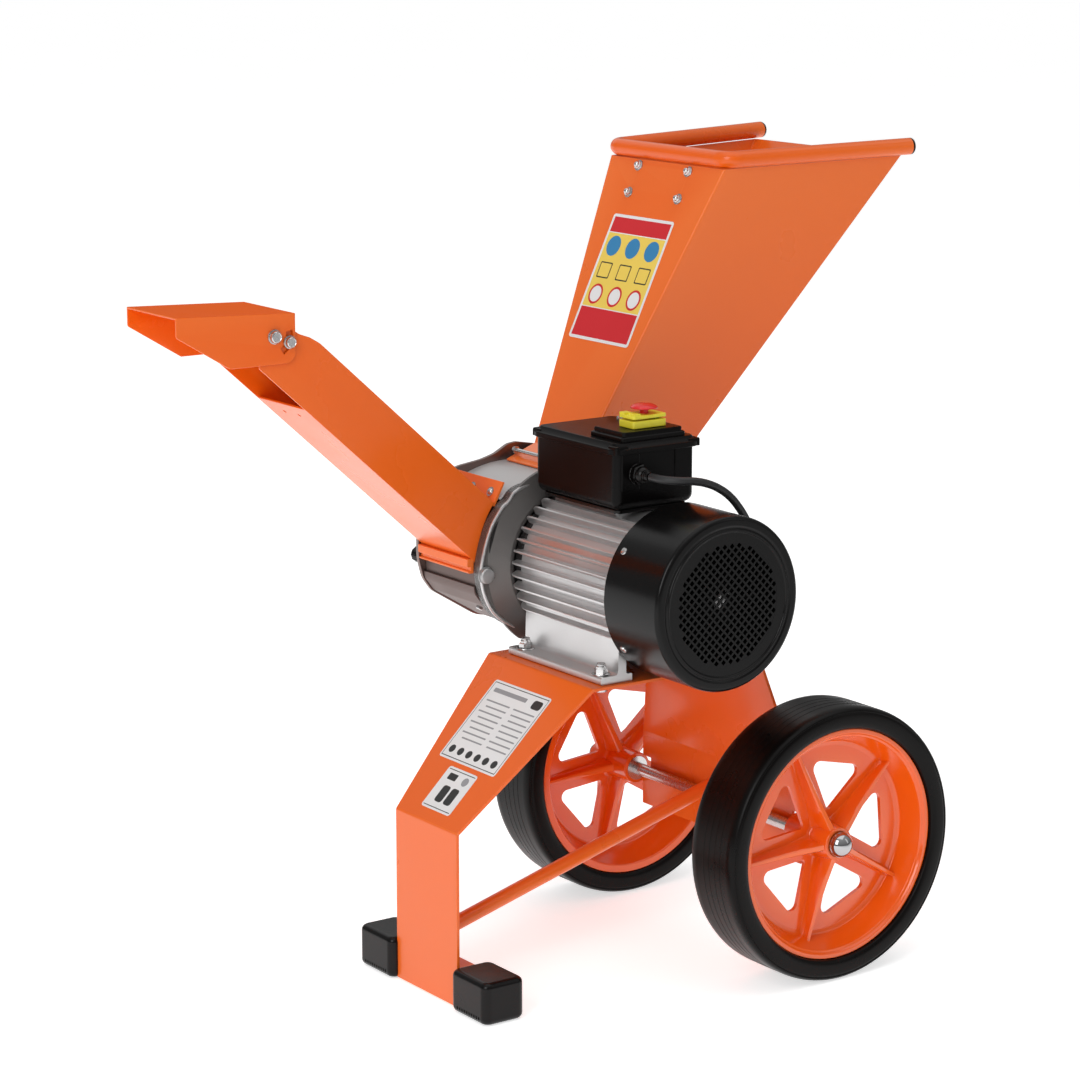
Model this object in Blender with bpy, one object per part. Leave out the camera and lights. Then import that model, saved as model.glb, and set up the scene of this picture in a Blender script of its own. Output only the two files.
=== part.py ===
"""A compact electric wood chipper: a finned motor on a bent-sheet stand with two wheels, which turns a cutter
drum between two chamber plates, fed by a sheet hopper and emptied by a chute with a tilting deflector.

Metres, +Z up. The motor shaft runs along Y, with the fan at -Y (side a) and the cutter at +Y (side b).
The hopper and the wheels are at +X, the leg and the chute at -X. Every length below is measured from the
motor axis in X and Y and from the ground in Z, and ROOT moves the finished object so that the middle of its
footprint is the origin.
"""

import math

import bmesh
import bpy
from mathutils import Matrix, Vector

GAP = 0.0003                    # between pieces that touch
SHEET = 0.003                   # stand sheet
THIN = 0.002                    # hopper, chute and deflector sheet
CENTRE = (-0.0217, 0.0315)      # middle of the footprint, from the motor axis

# Motor
AXIS_Z = 0.3658
STAND_TOP = 0.2857
BODY_R, FIN_R, BORE_R = 0.0660, 0.0755, 0.0600
FINS = 40
BLADES = 6
HOUSING_Y = (-0.0785, 0.0700)
FOOT_Y = (-0.0785, 0.0680)
COWL_Y = (-0.1607, -0.0816)
COWL_R = 0.0801
PAD_TOP = 0.4367
FOOT_BOLTS = [(x, y) for x in (-0.072, 0.072) for y in (-0.067, 0.052)]

# Running gear
AXLE = (0.1135, 0.1295)
AXLE_R = 0.0060
WHEEL_R, RIM_R = 0.1295, 0.1088
WHEEL_Y = (0.1272, 0.1910)      # inner and outer side of a tyre
FIRST_SPOKE = -103              # degrees from +X
SPOKES = 5

# Cutting chamber
FLANGE_Y = (0.0880, 0.0975)
PLATE_Y = (0.1836, 0.1876)
DRUM_Y = (0.1040, 0.1770)
DRUM_R = 0.0640
MID_Y = 0.1365                  # middle of the hopper
CHUTE_Y = 0.1408                # middle of the chute and the deflector

# Discharge chute: ALONG runs up the chute and ACROSS runs from its underside to its top
CHUTE_TILT = math.radians(138.3)
ALONG = Vector((math.cos(CHUTE_TILT), math.sin(CHUTE_TILT)))
ACROSS = Vector((-ALONG.y, ALONG.x)) * -1
CHUTE_BOTTOM, CHUTE_TOP = 0.2118, 0.2668
CHUTE_HALF = 0.0425
NECK_HALF = 0.0385
PIVOT = (-0.3122, 0.6021)

# Hopper
NECK = ((0.0213, 0.1545), 0.4519, 0.0395)
MOUTH_REAR = (0.1572, 0.7362, 0.0922)
MOUTH_FRONT = (0.3615, 0.7406, 0.1155)
RIM_TUBE_R = 0.0085
FLAP_HINGE = (0.1705, 0.7060)

# Switch
BOX = ((-0.0450, 0.0450), (-0.0536, 0.0765), (0.4370, 0.4892))
SWITCH = ((-0.0165, 0.0215), (-0.0400, -0.0165), (0.5083, 0.5150))
MUSHROOM = (0.0040, -0.0283)
FLAP_PIN = (-0.0150, 0.5170)
GLAND = (-0.0228, 0.4705)
CORD_R = 0.00375


def clear_scene():
    for old in list(bpy.data.objects):
        bpy.data.objects.remove(old, do_unlink=True)


def new_object(name, bm, smooth=False):
    bmesh.ops.recalc_face_normals(bm, faces=bm.faces)
    mesh = bpy.data.meshes.new(name)
    bm.to_mesh(mesh)
    bm.free()
    obj = bpy.data.objects.new(name, mesh)
    bpy.context.scene.collection.objects.link(obj)
    obj.parent = ROOT
    if smooth:
        mesh.shade_smooth()
        mesh.set_sharp_from_angle(angle=math.radians(35))
    return obj


def skin(name, rings, closed_loop=False, smooth=False):
    """A solid through rings of points, capped at both ends unless the rings close on themselves."""
    bm = bmesh.new()
    rows = [[bm.verts.new(p) for p in ring] for ring in rings]
    pairs = list(zip(rows, rows[1:]))
    if closed_loop:
        pairs.append((rows[-1], rows[0]))
    else:
        bm.faces.new(rows[0][::-1])
        bm.faces.new(rows[-1])
    for low, high in pairs:
        for i in range(len(low)):
            j = (i + 1) % len(low)
            bm.faces.new((low[i], low[j], high[j], high[i]))
    return new_object(name, bm, smooth)


def prism(name, outline, y0, y1, smooth=False):
    """An (x, z) outline carried from y0 to y1."""
    return skin(name, [[(x, y, z) for x, z in outline] for y in (y0, y1)], smooth=smooth)


def upright(name, outline, z0, z1, smooth=False):
    """An (x, y) outline carried from z0 to z1."""
    return skin(name, [[(x, y, z) for x, y in outline] for z in (z0, z1)], smooth=smooth)


def box(name, xs, ys, zs):
    outline = [(xs[0], ys[0]), (xs[1], ys[0]), (xs[1], ys[1]), (xs[0], ys[1])]
    return upright(name, outline, *zs)


def around(centre, direction, profile, steps, start=0.0):
    """Rings of a profile of (radius, distance) pairs turned about an axis."""
    axis = Vector(direction).normalized()
    side = axis.orthogonal().normalized()
    if abs(axis.y) > 0.99:
        side = Vector((1, 0, 0))
    up = axis.cross(side)
    rings = []
    for i in range(steps):
        turn = start + 2 * math.pi * i / steps
        out = side * math.cos(turn) + up * math.sin(turn)
        rings.append([Vector(centre) + axis * d + out * r for r, d in profile])
    return rings


def turned(name, centre, direction, profile, steps=32, smooth=True):
    """A closed (radius, distance) profile turned about an axis that it may touch only at its two ends."""
    if profile[0][0] > 0:
        return skin(name, around(centre, direction, profile, steps), closed_loop=True, smooth=smooth)
    bm = bmesh.new()
    axis = Vector(direction).normalized()
    tips = [bm.verts.new(Vector(centre) + axis * profile[k][1]) for k in (0, -1)]
    rows = [[bm.verts.new(p) for p in ring] for ring in around(centre, direction, profile[1:-1], steps)]
    for i in range(steps):
        a, b = rows[i], rows[(i + 1) % steps]
        bm.faces.new((tips[0], a[0], b[0]))
        bm.faces.new((tips[1], b[-1], a[-1]))
        for k in range(len(a) - 1):
            bm.faces.new((a[k], a[k + 1], b[k + 1], b[k]))
    return new_object(name, bm, smooth)


def rod(name, centre, direction, radius, d0, d1, steps=16, smooth=True):
    return turned(name, centre, direction, [(0, d0), (radius, d0), (radius, d1), (0, d1)], steps, smooth)


def rounded(xs, ys, radius, steps=3):
    """The outline of a rectangle with rounded corners."""
    outline = []
    corners = ((1, 1, 0), (0, 1, 90), (0, 0, 180), (1, 0, 270))
    for i, j, first in corners:
        cx = xs[i] + (-radius if i else radius)
        cy = ys[j] + (-radius if j else radius)
        for k in range(steps + 1):
            turn = math.radians(first + 90 * k / steps)
            outline.append((cx + radius * math.cos(turn), cy + radius * math.sin(turn)))
    return outline


def arc(centre, radius, first, last, steps):
    """Points of an arc in the XZ plane, in degrees from +X towards +Z."""
    turns = [math.radians(first + (last - first) * k / steps) for k in range(steps + 1)]
    return [(centre[0] + radius * math.cos(t), centre[1] + radius * math.sin(t)) for t in turns]


def bent_strip(name, path, thickness, y0, y1):
    """A sheet bent along an (x, z) path, whose thickness lies to the right of the way."""
    points = [Vector(p) for p in path]
    ways = [(b - a).normalized() for a, b in zip(points, points[1:])]
    inner = []
    for i, point in enumerate(points):
        before, after = ways[max(i - 1, 0)], ways[min(i, len(ways) - 1)]
        normal = (before + after).normalized()
        inner.append(point + Vector((normal.y, -normal.x)) * thickness / math.cos(before.angle(after) / 2))
    return prism(name, [tuple(p) for p in points + inner[::-1]], y0, y1)


def combine(target, tool, how):
    tool.hide_render = True
    tool.display_type = "WIRE"
    step = target.modifiers.new(tool.name, "BOOLEAN")
    step.operation = how
    step.solver = "EXACT"
    step.object = tool


def cut(target, *tools):
    for tool in tools:
        combine(target, tool, "DIFFERENCE")
    return target


def join(target, *tools):
    for tool in tools:
        combine(target, tool, "UNION")
    return target


def on_joint(name, position, *pieces):
    """Hangs pieces on an empty that stands on their joint's axis."""
    empty = bpy.data.objects.new(name, None)
    empty.empty_display_size = 0.03
    bpy.context.scene.collection.objects.link(empty)
    empty.parent = ROOT
    empty.location = position
    for piece in pieces:
        piece.parent = empty
        piece.matrix_parent_inverse = Matrix.Translation(-Vector(position))


def material(name, colour, metallic, roughness):
    made = bpy.data.materials.new(name)
    made.use_nodes = True
    shader = made.node_tree.nodes["Principled BSDF"]
    shader.inputs["Base Color"].default_value = (*colour, 1)
    shader.inputs["Metallic"].default_value = metallic
    shader.inputs["Roughness"].default_value = roughness
    made.diffuse_color = (*colour, 1)
    return made


def paint(look, *pieces):
    for piece in pieces:
        piece.data.materials.append(look)


# Stand --------------------------------------------------------------------------------------------------


def folded_sheet(name, stations, thickness):
    """A bent sheet through (x, z, half width) stations, whose thickness lies to the right of the way."""
    points = [Vector(s[:2]) for s in stations]
    ways = [(b - a).normalized() for a, b in zip(points, points[1:])]
    rings = []
    for i, (point, station) in enumerate(zip(points, stations)):
        before, after = ways[max(i - 1, 0)], ways[min(i, len(ways) - 1)]
        normal = (before + after).normalized()
        normal = Vector((normal.y, -normal.x))
        inside = point + normal * thickness / math.cos(before.angle(after) / 2)
        half = station[2]
        rings.append([(point.x, -half, point.y), (point.x, half, point.y),
                      (inside.x, half, inside.y), (inside.x, -half, inside.y)])
    return skin(name, rings)


def make_stand():
    stand = folded_sheet("stand_frame", [
        (-0.2187, 0.0010, 0.0500), (-0.2187, 0.1638, 0.0500), (-0.0924, STAND_TOP, 0.0832),
        (0.0999, STAND_TOP, 0.0854), (0.1227, 0.1680, 0.1230), (0.1227, 0.0930, 0.1230)], SHEET)
    for i, (x, y) in enumerate(FOOT_BOLTS):
        cut(stand, rod(f"stand_hole_{i}", (x, y, STAND_TOP), (0, 0, 1), 0.0045, -0.02, 0.02, 10))
    for i, (y0, y1) in enumerate(((-0.1300, -0.1100), (0.1100, 0.1300))):
        cut(stand, box(f"axle_notch_{i}", (0.1100, 0.1300), (y0, y1), (0.1200, 0.1420)))
    crossbar = prism("foot_crossbar", [(-0.2154, 0.0045), (-0.1900, 0.0045), (-0.1900, 0.0335),
                                       (-0.2154, 0.0335)], -0.0985, 0.0985)
    caps = []
    for side, sign in (("a", -1), ("b", 1)):
        inner, outer = sorted((sign * 0.0506, sign * 0.1034))
        cap = upright(f"foot_cap_{side}", rounded((-0.2240, -0.1840), (inner, outer), 0.005, 2),
                      0.0, 0.0376, smooth=True)
        ends = sorted((sign * 0.0400, sign * 0.0990))
        caps.append(cut(cap, box(f"cap_pocket_{side}", (-0.2157, -0.1897), ends, (0.0042, 0.0338))))
    slope, base = 0.2768, 0.0526
    rings = []
    for x in (-0.2154, 0.1194):
        z = base + slope * (x + 0.2157)
        turns = [2 * math.pi * k / 16 for k in range(16)]
        rings.append([(x, 0.0070 * math.cos(t), z + 0.0073 * math.sin(t)) for t in turns])
    brace = skin("brace_tube", rings, smooth=True)
    return stand, crossbar, caps, brace


# Wheels -------------------------------------------------------------------------------------------------


def make_wheel(side, sign):
    centre, axis = (AXLE[0], 0, AXLE[1]), (0, sign, 0)
    rim = turned(f"wheel_rim_{side}", centre, axis, [
        (0.0061, 0.1240), (0.0155, 0.1240), (0.0155, 0.1570), (0.0900, 0.1570), (0.1030, 0.1307),
        (RIM_R, 0.1307), (RIM_R, 0.1334), (0.1050, 0.1334), (0.1050, 0.1832), (RIM_R, 0.1832),
        (RIM_R, 0.1860), (0.1040, 0.1860), (0.0920, 0.1610), (0.0165, 0.1610), (0.0155, 0.1845),
        (0.0061, 0.1845)], 30)
    for i in range(SPOKES):
        middle = math.radians(FIRST_SPOKE + 360 / SPOKES * (i + 0.5))
        corners = [(0.0275, 0.10), (0.0620, 0.37), (0.0680, 0.32), (0.0700, 0.22), (0.0700, -0.22),
                   (0.0680, -0.32), (0.0620, -0.37), (0.0275, -0.10)]
        outline = [(AXLE[0] + r * math.cos(middle + t), AXLE[1] + r * math.sin(middle + t))
                   for r, t in corners]
        cut(rim, prism(f"wheel_window_{side}_{i}", outline, sign * 0.1480, sign * 0.1700))
    ribs = []
    for i in range(SPOKES):
        turn = math.radians(FIRST_SPOKE + 360 / SPOKES * i)
        way, wide = Vector((math.cos(turn), math.sin(turn))), Vector((-math.sin(turn), math.cos(turn)))
        rings = []
        for reach, height in ((0.0120, 0.1810), (0.0965, 0.1690)):
            spot = Vector(AXLE) + way * reach
            left, right = spot - wide * 0.0022, spot + wide * 0.0022
            rings.append([(left.x, sign * 0.1585, left.y), (right.x, sign * 0.1585, right.y),
                          (right.x, sign * height, right.y), (left.x, sign * height, left.y)])
        ribs.append(skin(f"wheel_rib_{side}_{i}", rings))
    join(rim, *ribs)
    inner, outer = WHEEL_Y
    tyre = turned(f"tyre_{side}", centre, axis, [
        (0.1053, 0.1337), (0.1091, 0.1337), (0.1091, 0.1300), (0.1150, inner), (0.1245, 0.1275),
        (0.1285, 0.1302), (WHEEL_R, 0.1350), (WHEEL_R, 0.1835), (0.1285, 0.1882), (0.1245, 0.1908),
        (0.1150, outer), (0.1091, 0.1875), (0.1091, 0.1829), (0.1053, 0.1829)], 30)
    cap = turned(f"hub_cap_{side}", centre, axis, [
        (0, 0.1900), (0.0070, 0.1900), (0.0070, 0.1848), (0.0120, 0.1848), (0.0120, 0.1890), (0.0090, 0.1945),
        (0, 0.1975)], 16)
    on_joint(f"wheel_{side}_axis", (AXLE[0], 0, AXLE[1]), rim, tyre, cap)
    return rim, tyre, cap


# Motor --------------------------------------------------------------------------------------------------


def fin_outline():
    """The finned section, plain where the terminal box stands on top and where the feet start."""
    outline = []
    pitch = 360 / FINS
    for i in range(FINS):
        middle = pitch * (i + 0.5)
        bare = 62 < middle < 118 or 222 < middle < 318
        if not bare:
            for radius, offset in ((BODY_R, -1.5), (FIN_R, -0.7), (FIN_R, 0.7), (BODY_R, 1.5)):
                turn = math.radians(middle + offset)
                outline.append((radius * math.cos(turn), AXIS_Z + radius * math.sin(turn)))
        else:
            turn = math.radians(middle)
            outline.append((BODY_R * math.cos(turn), AXIS_Z + BODY_R * math.sin(turn)))
    return outline


def make_motor():
    centre, axis = (0, 0, AXIS_Z), (0, 1, 0)
    housing = prism("motor_housing", fin_outline(), *HOUSING_Y, smooth=True)
    for name, sign in (("left", -1), ("right", 1)):
        foot = [(0.0450, STAND_TOP + GAP), (0.0802, STAND_TOP + GAP), (0.0802, 0.2930), (0.0600, 0.2930),
                (0.0600, 0.3450), (0.0520, 0.3450), (0.0520, 0.2930), (0.0450, 0.2930)]
        join(housing, prism(f"motor_foot_{name}", [(sign * x, z) for x, z in foot], *FOOT_Y))
    join(housing, box("motor_pad", (-0.0330, 0.0330), (-0.0400, 0.0620), (0.4150, PAD_TOP)))
    cut(housing, rod("stator_bore", centre, axis, BORE_R, -0.2, 0.2, 32))
    for i, (x, y) in enumerate(FOOT_BOLTS):
        cut(housing, rod(f"motor_foot_hole_{i}", (x, y, STAND_TOP), (0, 0, 1), 0.0045, -0.02, 0.02, 10))
    stator = turned("stator_core", centre, axis,
                    [(0.0350, -0.045), (BORE_R - GAP, -0.045), (BORE_R - GAP, 0.045), (0.0350, 0.045)], 24)
    windings = []
    for side, y0, y1 in (("a", -0.0640, -0.0455), ("b", 0.0455, 0.0640)):
        windings.append(turned(f"winding_{side}", centre, axis, [
            (0.0370, y0 + 0.004), (0.0460, y0), (0.0550, y0 + 0.004), (0.0550, y1 - 0.004),
            (0.0460, y1), (0.0370, y1 - 0.004)], 16))
    bell_b = turned("end_bell_cutter", centre, axis, [
        (0.0135, 0.0703), (0.0655, 0.0703), (0.0655, 0.0790), (0.0560, 0.0877), (0.0205, 0.0877),
        (0.0205, 0.0763), (0.0135, 0.0763)], 28)
    bell_a = turned("end_bell_fan", centre, axis, [
        (0.0135, -0.0788), (0.0740, -0.0788), (0.0740, -0.0840), (0.0300, -0.0880), (0.0240, -0.0990),
        (0.0205, -0.0990), (0.0205, -0.0850), (0.0135, -0.0850)][::-1], 28)
    bearings = []
    for side, seat, y0, y1 in (("a", 0.0100, -0.0985, -0.0855), ("b", 0.0121, 0.0768, 0.0874)):
        bearings.append(turned(f"bearing_{side}", centre, axis,
                               [(seat, y0), (0.0200, y0), (0.0200, y1), (seat, y1)], 28))
    shaft = turned("motor_shaft", centre, axis, [
        (0, -0.1480), (0.0070, -0.1480), (0.0070, -0.1010), (0.0099, -0.1010), (0.0099, -0.0800),
        (0.0120, -0.0800), (0.0120, 0.1790), (0, 0.1790)], 28)
    core = turned("rotor_core", centre, axis, [
        (0.0123, -0.050), (0.0340, -0.050), (0.0340, 0.050), (0.0123, 0.050)], 28)
    return housing, stator, windings, (bell_a, bell_b), bearings, shaft, core


def make_fan():
    centre, axis = (0, 0, AXIS_Z), (0, 1, 0)
    fan = turned("cooling_fan", centre, axis, [
        (0.0073, -0.1460), (0.0180, -0.1460), (0.0200, -0.1240), (0.0650, -0.1210), (0.0650, -0.1190),
        (0.0073, -0.1190)], 24)
    for i in range(BLADES):
        turn = 2 * math.pi * i / BLADES
        way, wide = Vector((math.cos(turn), math.sin(turn))), Vector((-math.sin(turn), math.cos(turn)))
        rings = []
        for reach, y in ((0.0160, -0.1440), (0.0640, -0.1440)):
            spot = Vector((0, AXIS_Z)) + way * reach
            left, right = spot - wide * 0.0012, spot + wide * 0.0012
            rings.append([(left.x, y, left.y), (right.x, y, right.y),
                          (right.x, -0.1200, right.y), (left.x, -0.1200, left.y)])
        join(fan, skin(f"fan_blade_{i}", rings))
    return fan


def make_cowl():
    centre, axis = (0, 0, AXIS_Z), (0, -1, 0)
    back, front = -COWL_Y[1], -COWL_Y[0]
    cowl = turned("fan_cowl", centre, axis, [
        (0, front - 0.0020), (0.0660, front - 0.0020), (0.0738, front - 0.0058), (0.0779, front - 0.0130),
        (0.0779, back), (COWL_R, back), (COWL_R, front - 0.0130), (0.0763, front - 0.0040),
        (0.0680, front), (0, front)], 32)
    for radius, count in ((0.0180, 5), (0.0400, 11)):
        for i in range(count):
            turn = 2 * math.pi * (i + 0.37) / count
            spot = Vector((radius * math.cos(turn), AXIS_Z + radius * math.sin(turn)))
            slot = [(spot.x + dx, spot.y + dz) for dx, dz in
                    ((0.0080, 0), (0, 0.0080), (-0.0080, 0), (0, -0.0080))]
            cut(cowl, prism(f"cowl_hole_{count}_{i}", slot, -0.1660, -0.1540))
    return cowl


def make_foot_bolt(i, x, y):
    z = STAND_TOP
    return turned(f"foot_bolt_{i + 1}", (x, y, z), (0, 0, 1), [
        (0, -0.0085), (0.0065, -0.0085), (0.0065, -0.0033), (0.0038, -0.0033), (0.0038, 0.0077),
        (0.0075, 0.0077), (0.0075, 0.0095), (0.0062, 0.0095), (0.0062, 0.0140), (0, 0.0185)], 10)


# Switch box ---------------------------------------------------------------------------------------------


def make_switch_box():
    xs, ys, (z0, z1) = BOX
    body = upright("switch_box", rounded(xs, ys, 0.006, 3), z0, z1, smooth=True)
    inner = rounded([xs[0] + 0.0025, xs[1] - 0.0025], [ys[0] + 0.0025, ys[1] - 0.0025], 0.0035, 3)
    cut(body, upright("switch_box_inside", inner, z0 + 0.0030, z1 + 0.01))
    wide = rounded([xs[0] - 0.005, xs[1] + 0.005], [ys[0] - 0.005, ys[1] + 0.002], 0.007, 3)
    slim = rounded([xs[0] - 0.001, xs[1] + 0.001], [ys[0] - 0.001, ys[1] - 0.002], 0.005, 3)
    base = z1 + GAP
    lid = skin("switch_box_lid", [[(x, y, z) for x, y in outline] for outline, z in (
        (wide, base), (wide, base + 0.0055), (slim, base + 0.0100))], smooth=True)
    join(lid, upright("lid_panel", rounded((-0.0360, 0.0360), (-0.0500, 0.0010), 0.002, 2),
                      base + 0.0070, 0.5080))
    cut(lid, upright("lid_inside", inner, base - 0.01, base + 0.0060))
    capacitor = rod("run_capacitor", (0, 0, 0.4600), (0, 1, 0), 0.0160, -0.0150, 0.0600, 24)
    gland = turned("cable_gland", (GLAND[0], 0, GLAND[1]), (0, -1, 0), [
        (0, 0.0539), (0.0095, 0.0539), (0.0095, 0.0590), (0.0078, 0.0610), (0.0050, 0.0738),
        (0, 0.0738)], 12)
    return body, lid, capacitor, gland


def make_switch():
    xs, ys, (z0, z1) = SWITCH
    base = upright("switch_base", rounded(xs, ys, 0.002, 2), z0, z1, smooth=True)
    cut(base, box("start_pocket", (0.0117, 0.0183), (-0.0330, -0.0235), (0.5090, 0.5300)))
    start = box("start_button", (0.0120, 0.0180), (-0.0327, -0.0238), (0.5106, 0.5160))
    top = 0.5217
    flap = upright("switch_flap", rounded(xs, ys, 0.002, 2), z1 + 0.0018, top, smooth=True)
    cut(flap, box("flap_pocket", (xs[0] + 0.003, xs[1] - 0.0015), (ys[0] + 0.0015, ys[1] - 0.0015),
                  (0.5100, top - 0.0022)))
    cut(flap, rod("flap_hole", (*MUSHROOM, 0.52), (0, 0, 1), 0.0046, -0.02, 0.02, 16))
    mushroom = turned("stop_button", (*MUSHROOM, 0), (0, 0, 1), [
        (0, 0.5174), (0.0058, 0.5174), (0.0058, 0.5190), (0.0042, 0.5190), (0.0042, 0.5243),
        (0.0120, 0.5247), (0.0125, 0.5262), (0.0095, 0.5282), (0, 0.5290)], 16)
    on_joint("start_button_axis", (0.0150, -0.0283, 0.5106), start)
    on_joint("stop_button_axis", (*MUSHROOM, 0.5174), mushroom)
    on_joint("switch_flap_axis", (FLAP_PIN[0], MUSHROOM[1], FLAP_PIN[1]), flap)
    return base, start, flap, mushroom


def smooth_route(corners, spacing):
    """Evenly spaced points of a Catmull-Rom curve through the corners."""
    points = [Vector(c) for c in corners]
    ends = [2 * points[0] - points[1], *points, 2 * points[-1] - points[-2]]
    fine = []
    for a, b, c, d in zip(ends, ends[1:], ends[2:], ends[3:]):
        for k in range(40):
            t = k / 40
            fine.append(0.5 * (2 * b + (c - a) * t + (2 * a - 5 * b + 4 * c - d) * t ** 2
                               + (3 * b - a - 3 * c + d) * t ** 3))
    fine.append(points[-1])
    length = sum((q - p).length for p, q in zip(fine, fine[1:]))
    count = round(length / spacing)
    route, walked = [fine[0]], 0.0
    for p, q in zip(fine, fine[1:]):
        step = (q - p).length
        while len(route) < count and walked + step >= length * len(route) / count:
            route.append(p.lerp(q, (length * len(route) / count - walked) / step))
        walked += step
    return route + [fine[-1]]


CORD_ROUTE = [
    (-0.0228, -0.0746, 0.4705), (-0.0228, -0.0810, 0.4705), (-0.0186, -0.0930, 0.4702),
    (-0.0078, -0.1030, 0.4695),
    (0.0072, -0.1070, 0.4680), (0.0240, -0.1075, 0.4622), (0.0400, -0.1075, 0.4525),
    (0.0545, -0.1070, 0.4375), (0.0685, -0.1050, 0.4170), (0.0800, -0.1000, 0.3920),
    (0.0890, -0.0890, 0.3640), (0.0965, -0.0720, 0.3380), (0.1080, -0.0530, 0.3130),
    (0.1230, -0.0380, 0.2860), (0.1370, -0.0290, 0.2540), (0.1450, -0.0250, 0.2220),
    (0.1480, -0.0240, 0.1950)]


def make_cord():
    curve = bpy.data.curves.new("power_cord", "CURVE")
    curve.dimensions = "3D"
    curve.bevel_depth = CORD_R
    curve.bevel_resolution = 2
    curve.use_fill_caps = True
    line = curve.splines.new("POLY")
    route = smooth_route(CORD_ROUTE, 0.015)
    line.points.add(len(route) - 1)
    for point, place in zip(line.points, route):
        point.co = (*place, 1)
    cord = bpy.data.objects.new("power_cord", curve)
    bpy.context.scene.collection.objects.link(cord)
    cord.parent = ROOT
    x, y, z = CORD_ROUTE[-1]
    top = z - 0.0009
    plug = turned("power_plug", (x, y, 0), (0, 0, 1), [
        (0, top - 0.0560), (0.0170, top - 0.0560), (0.0185, top - 0.0540), (0.0185, top - 0.0350),
        (0.0110, top - 0.0220), (0.0065, top - 0.0180), (0.0050, top), (0, top)], 16)
    for i, (dx, dy) in enumerate(((0.0, -0.0085), (0.0, 0.0085))):
        join(plug, rod(f"plug_pin_{i}", (x + dx, y + dy, 0), (0, 0, 1), 0.0024, top - 0.0740, top - 0.0500, 8))
    return cord, plug


# Cutting chamber ----------------------------------------------------------------------------------------

TIE_BOLT = (-0.0935, 0.3595)


def make_chamber():
    centre, axis = (0, 0, AXIS_Z), (0, 1, 0)
    left = [(-0.0148, 0.4382), (-0.0350, 0.4410), (-0.0494, 0.4397), (-0.0608, 0.4353), (-0.0676, 0.4275),
            (-0.0748, 0.4221), (-0.0870, 0.4057),
            (-0.0960, 0.3810), (-0.0990, 0.3583), (-0.0935, 0.3355), (-0.0783, 0.3150), (-0.0405, 0.2930)]
    flange = prism("chamber_flange", left + [(-x, z) for x, z in reversed(left)], *FLANGE_Y, smooth=True)
    join(flange, turned("flange_cone", centre, axis, [
        (0.0670, 0.0790), (0.0705, 0.0790), (0.0880, 0.0875), (0.0880, 0.0900), (0.0670, 0.0900)], 28))
    cut(flange, box("flange_clearance", (-0.15, 0.15), (0.05, 0.12), (0.20, 0.2925)),
        rod("flange_bore", centre, axis, 0.0160, 0.05, 0.2, 24),
        rod("flange_bolt_hole", (TIE_BOLT[0], 0, TIE_BOLT[1]), axis, 0.0036, 0.0700, 0.2, 12),
        rod("flange_bolt_seat", (TIE_BOLT[0], 0, TIE_BOLT[1]), axis, 0.0072, 0.0700, 0.0880, 12))
    outline = [(-0.1053, 0.3600), (-0.1000, 0.3400), (-0.0900, 0.3265), (-0.0400, 0.2960), (-0.0280, 0.2935),
               (0.0280, 0.2935), (0.0900, 0.3265), (0.1053, 0.3600), (0.1053, 0.4050), (0.0850, 0.4440),
               (0.0300, 0.4575), (0.0089, 0.4614), (-0.0009, 0.4603), (-0.0166, 0.4521),
               (-0.0322, 0.4481), (-0.0625, 0.4442), (-0.0925, 0.4241), (-0.1053, 0.3850)]
    plate = prism("chamber_plate", outline, *PLATE_Y)
    cut(plate, rod("plate_bore", centre, axis, 0.0180, 0.15, 0.25, 24),
        rod("plate_bolt_hole", (TIE_BOLT[0], 0, TIE_BOLT[1]), axis, 0.0035, 0.15, 0.25, 10))
    inside = (FLANGE_Y[1] + GAP, PLATE_Y[0] - GAP)
    cover = bent_strip("chamber_cover", [(-0.0695, 0.4280), (-0.0470, 0.4385), (-0.0240, 0.4440),
                                         (-0.0028, 0.4452), (0.0180, 0.4440)], 0.0020, *inside)
    liner = bent_strip("chamber_liner", [
        (0.1030, 0.3600), (0.0880, 0.3282), (0.0280, 0.2955), (-0.0280, 0.2955), (-0.0392, 0.2978),
        (-0.0885, 0.3272), (-0.0985, 0.3400), (-0.0995, 0.3470)], 0.0020, *inside)
    anvil = box("anvil_knife", (0.0685, 0.0955), (inside[0] + 0.005, inside[1] - 0.005), (0.3490, 0.3550))
    tie = turned("tie_bolt", (TIE_BOLT[0], 0, TIE_BOLT[1]), axis, [
        (0, 0.0810), (0.0058, 0.0810), (0.0066, 0.0826), (0.0066, 0.0877), (0.0032, 0.0877),
        (0.0032, 0.1879), (0.0075, 0.1879), (0.0075, 0.2045), (0.0060, 0.2060), (0, 0.2060)], 12)
    return flange, plate, cover, liner, anvil, tie


def make_cutter():
    centre, axis = (0, 0, AXIS_Z), (0, 1, 0)
    y0, y1 = DRUM_Y
    drum = turned("cutter_drum", centre, axis,
                  [(0.0123, y0), (DRUM_R, y0), (DRUM_R, y1), (0.0123, y1)], 32)
    knives = []
    for side, turn in (("a", math.radians(35)), ("b", math.radians(215))):
        way, wide = Vector((math.cos(turn), math.sin(turn))), Vector((-math.sin(turn), math.cos(turn)))
        base = Vector((0, AXIS_Z))
        pocket = [base + way * r + wide * w for r, w in
                  ((0.0380, 0.0), (0.0380, 0.0060), (0.0800, 0.0240), (0.0800, 0.0))]
        cut(drum, prism(f"knife_pocket_{side}", [tuple(p) for p in pocket], y0 - 0.01, y1 + 0.01))
        blade = [base + way * r + wide * w for r, w in
                 ((0.0383, 0.0003), (0.0383, 0.0050), (0.0585, 0.0050), (0.0668, 0.0008), (0.0668, 0.0003))]
        knives.append(prism(f"knife_{side}", [tuple(p) for p in blade], y0 + 0.002, y1 - 0.002))
    return drum, knives


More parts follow.
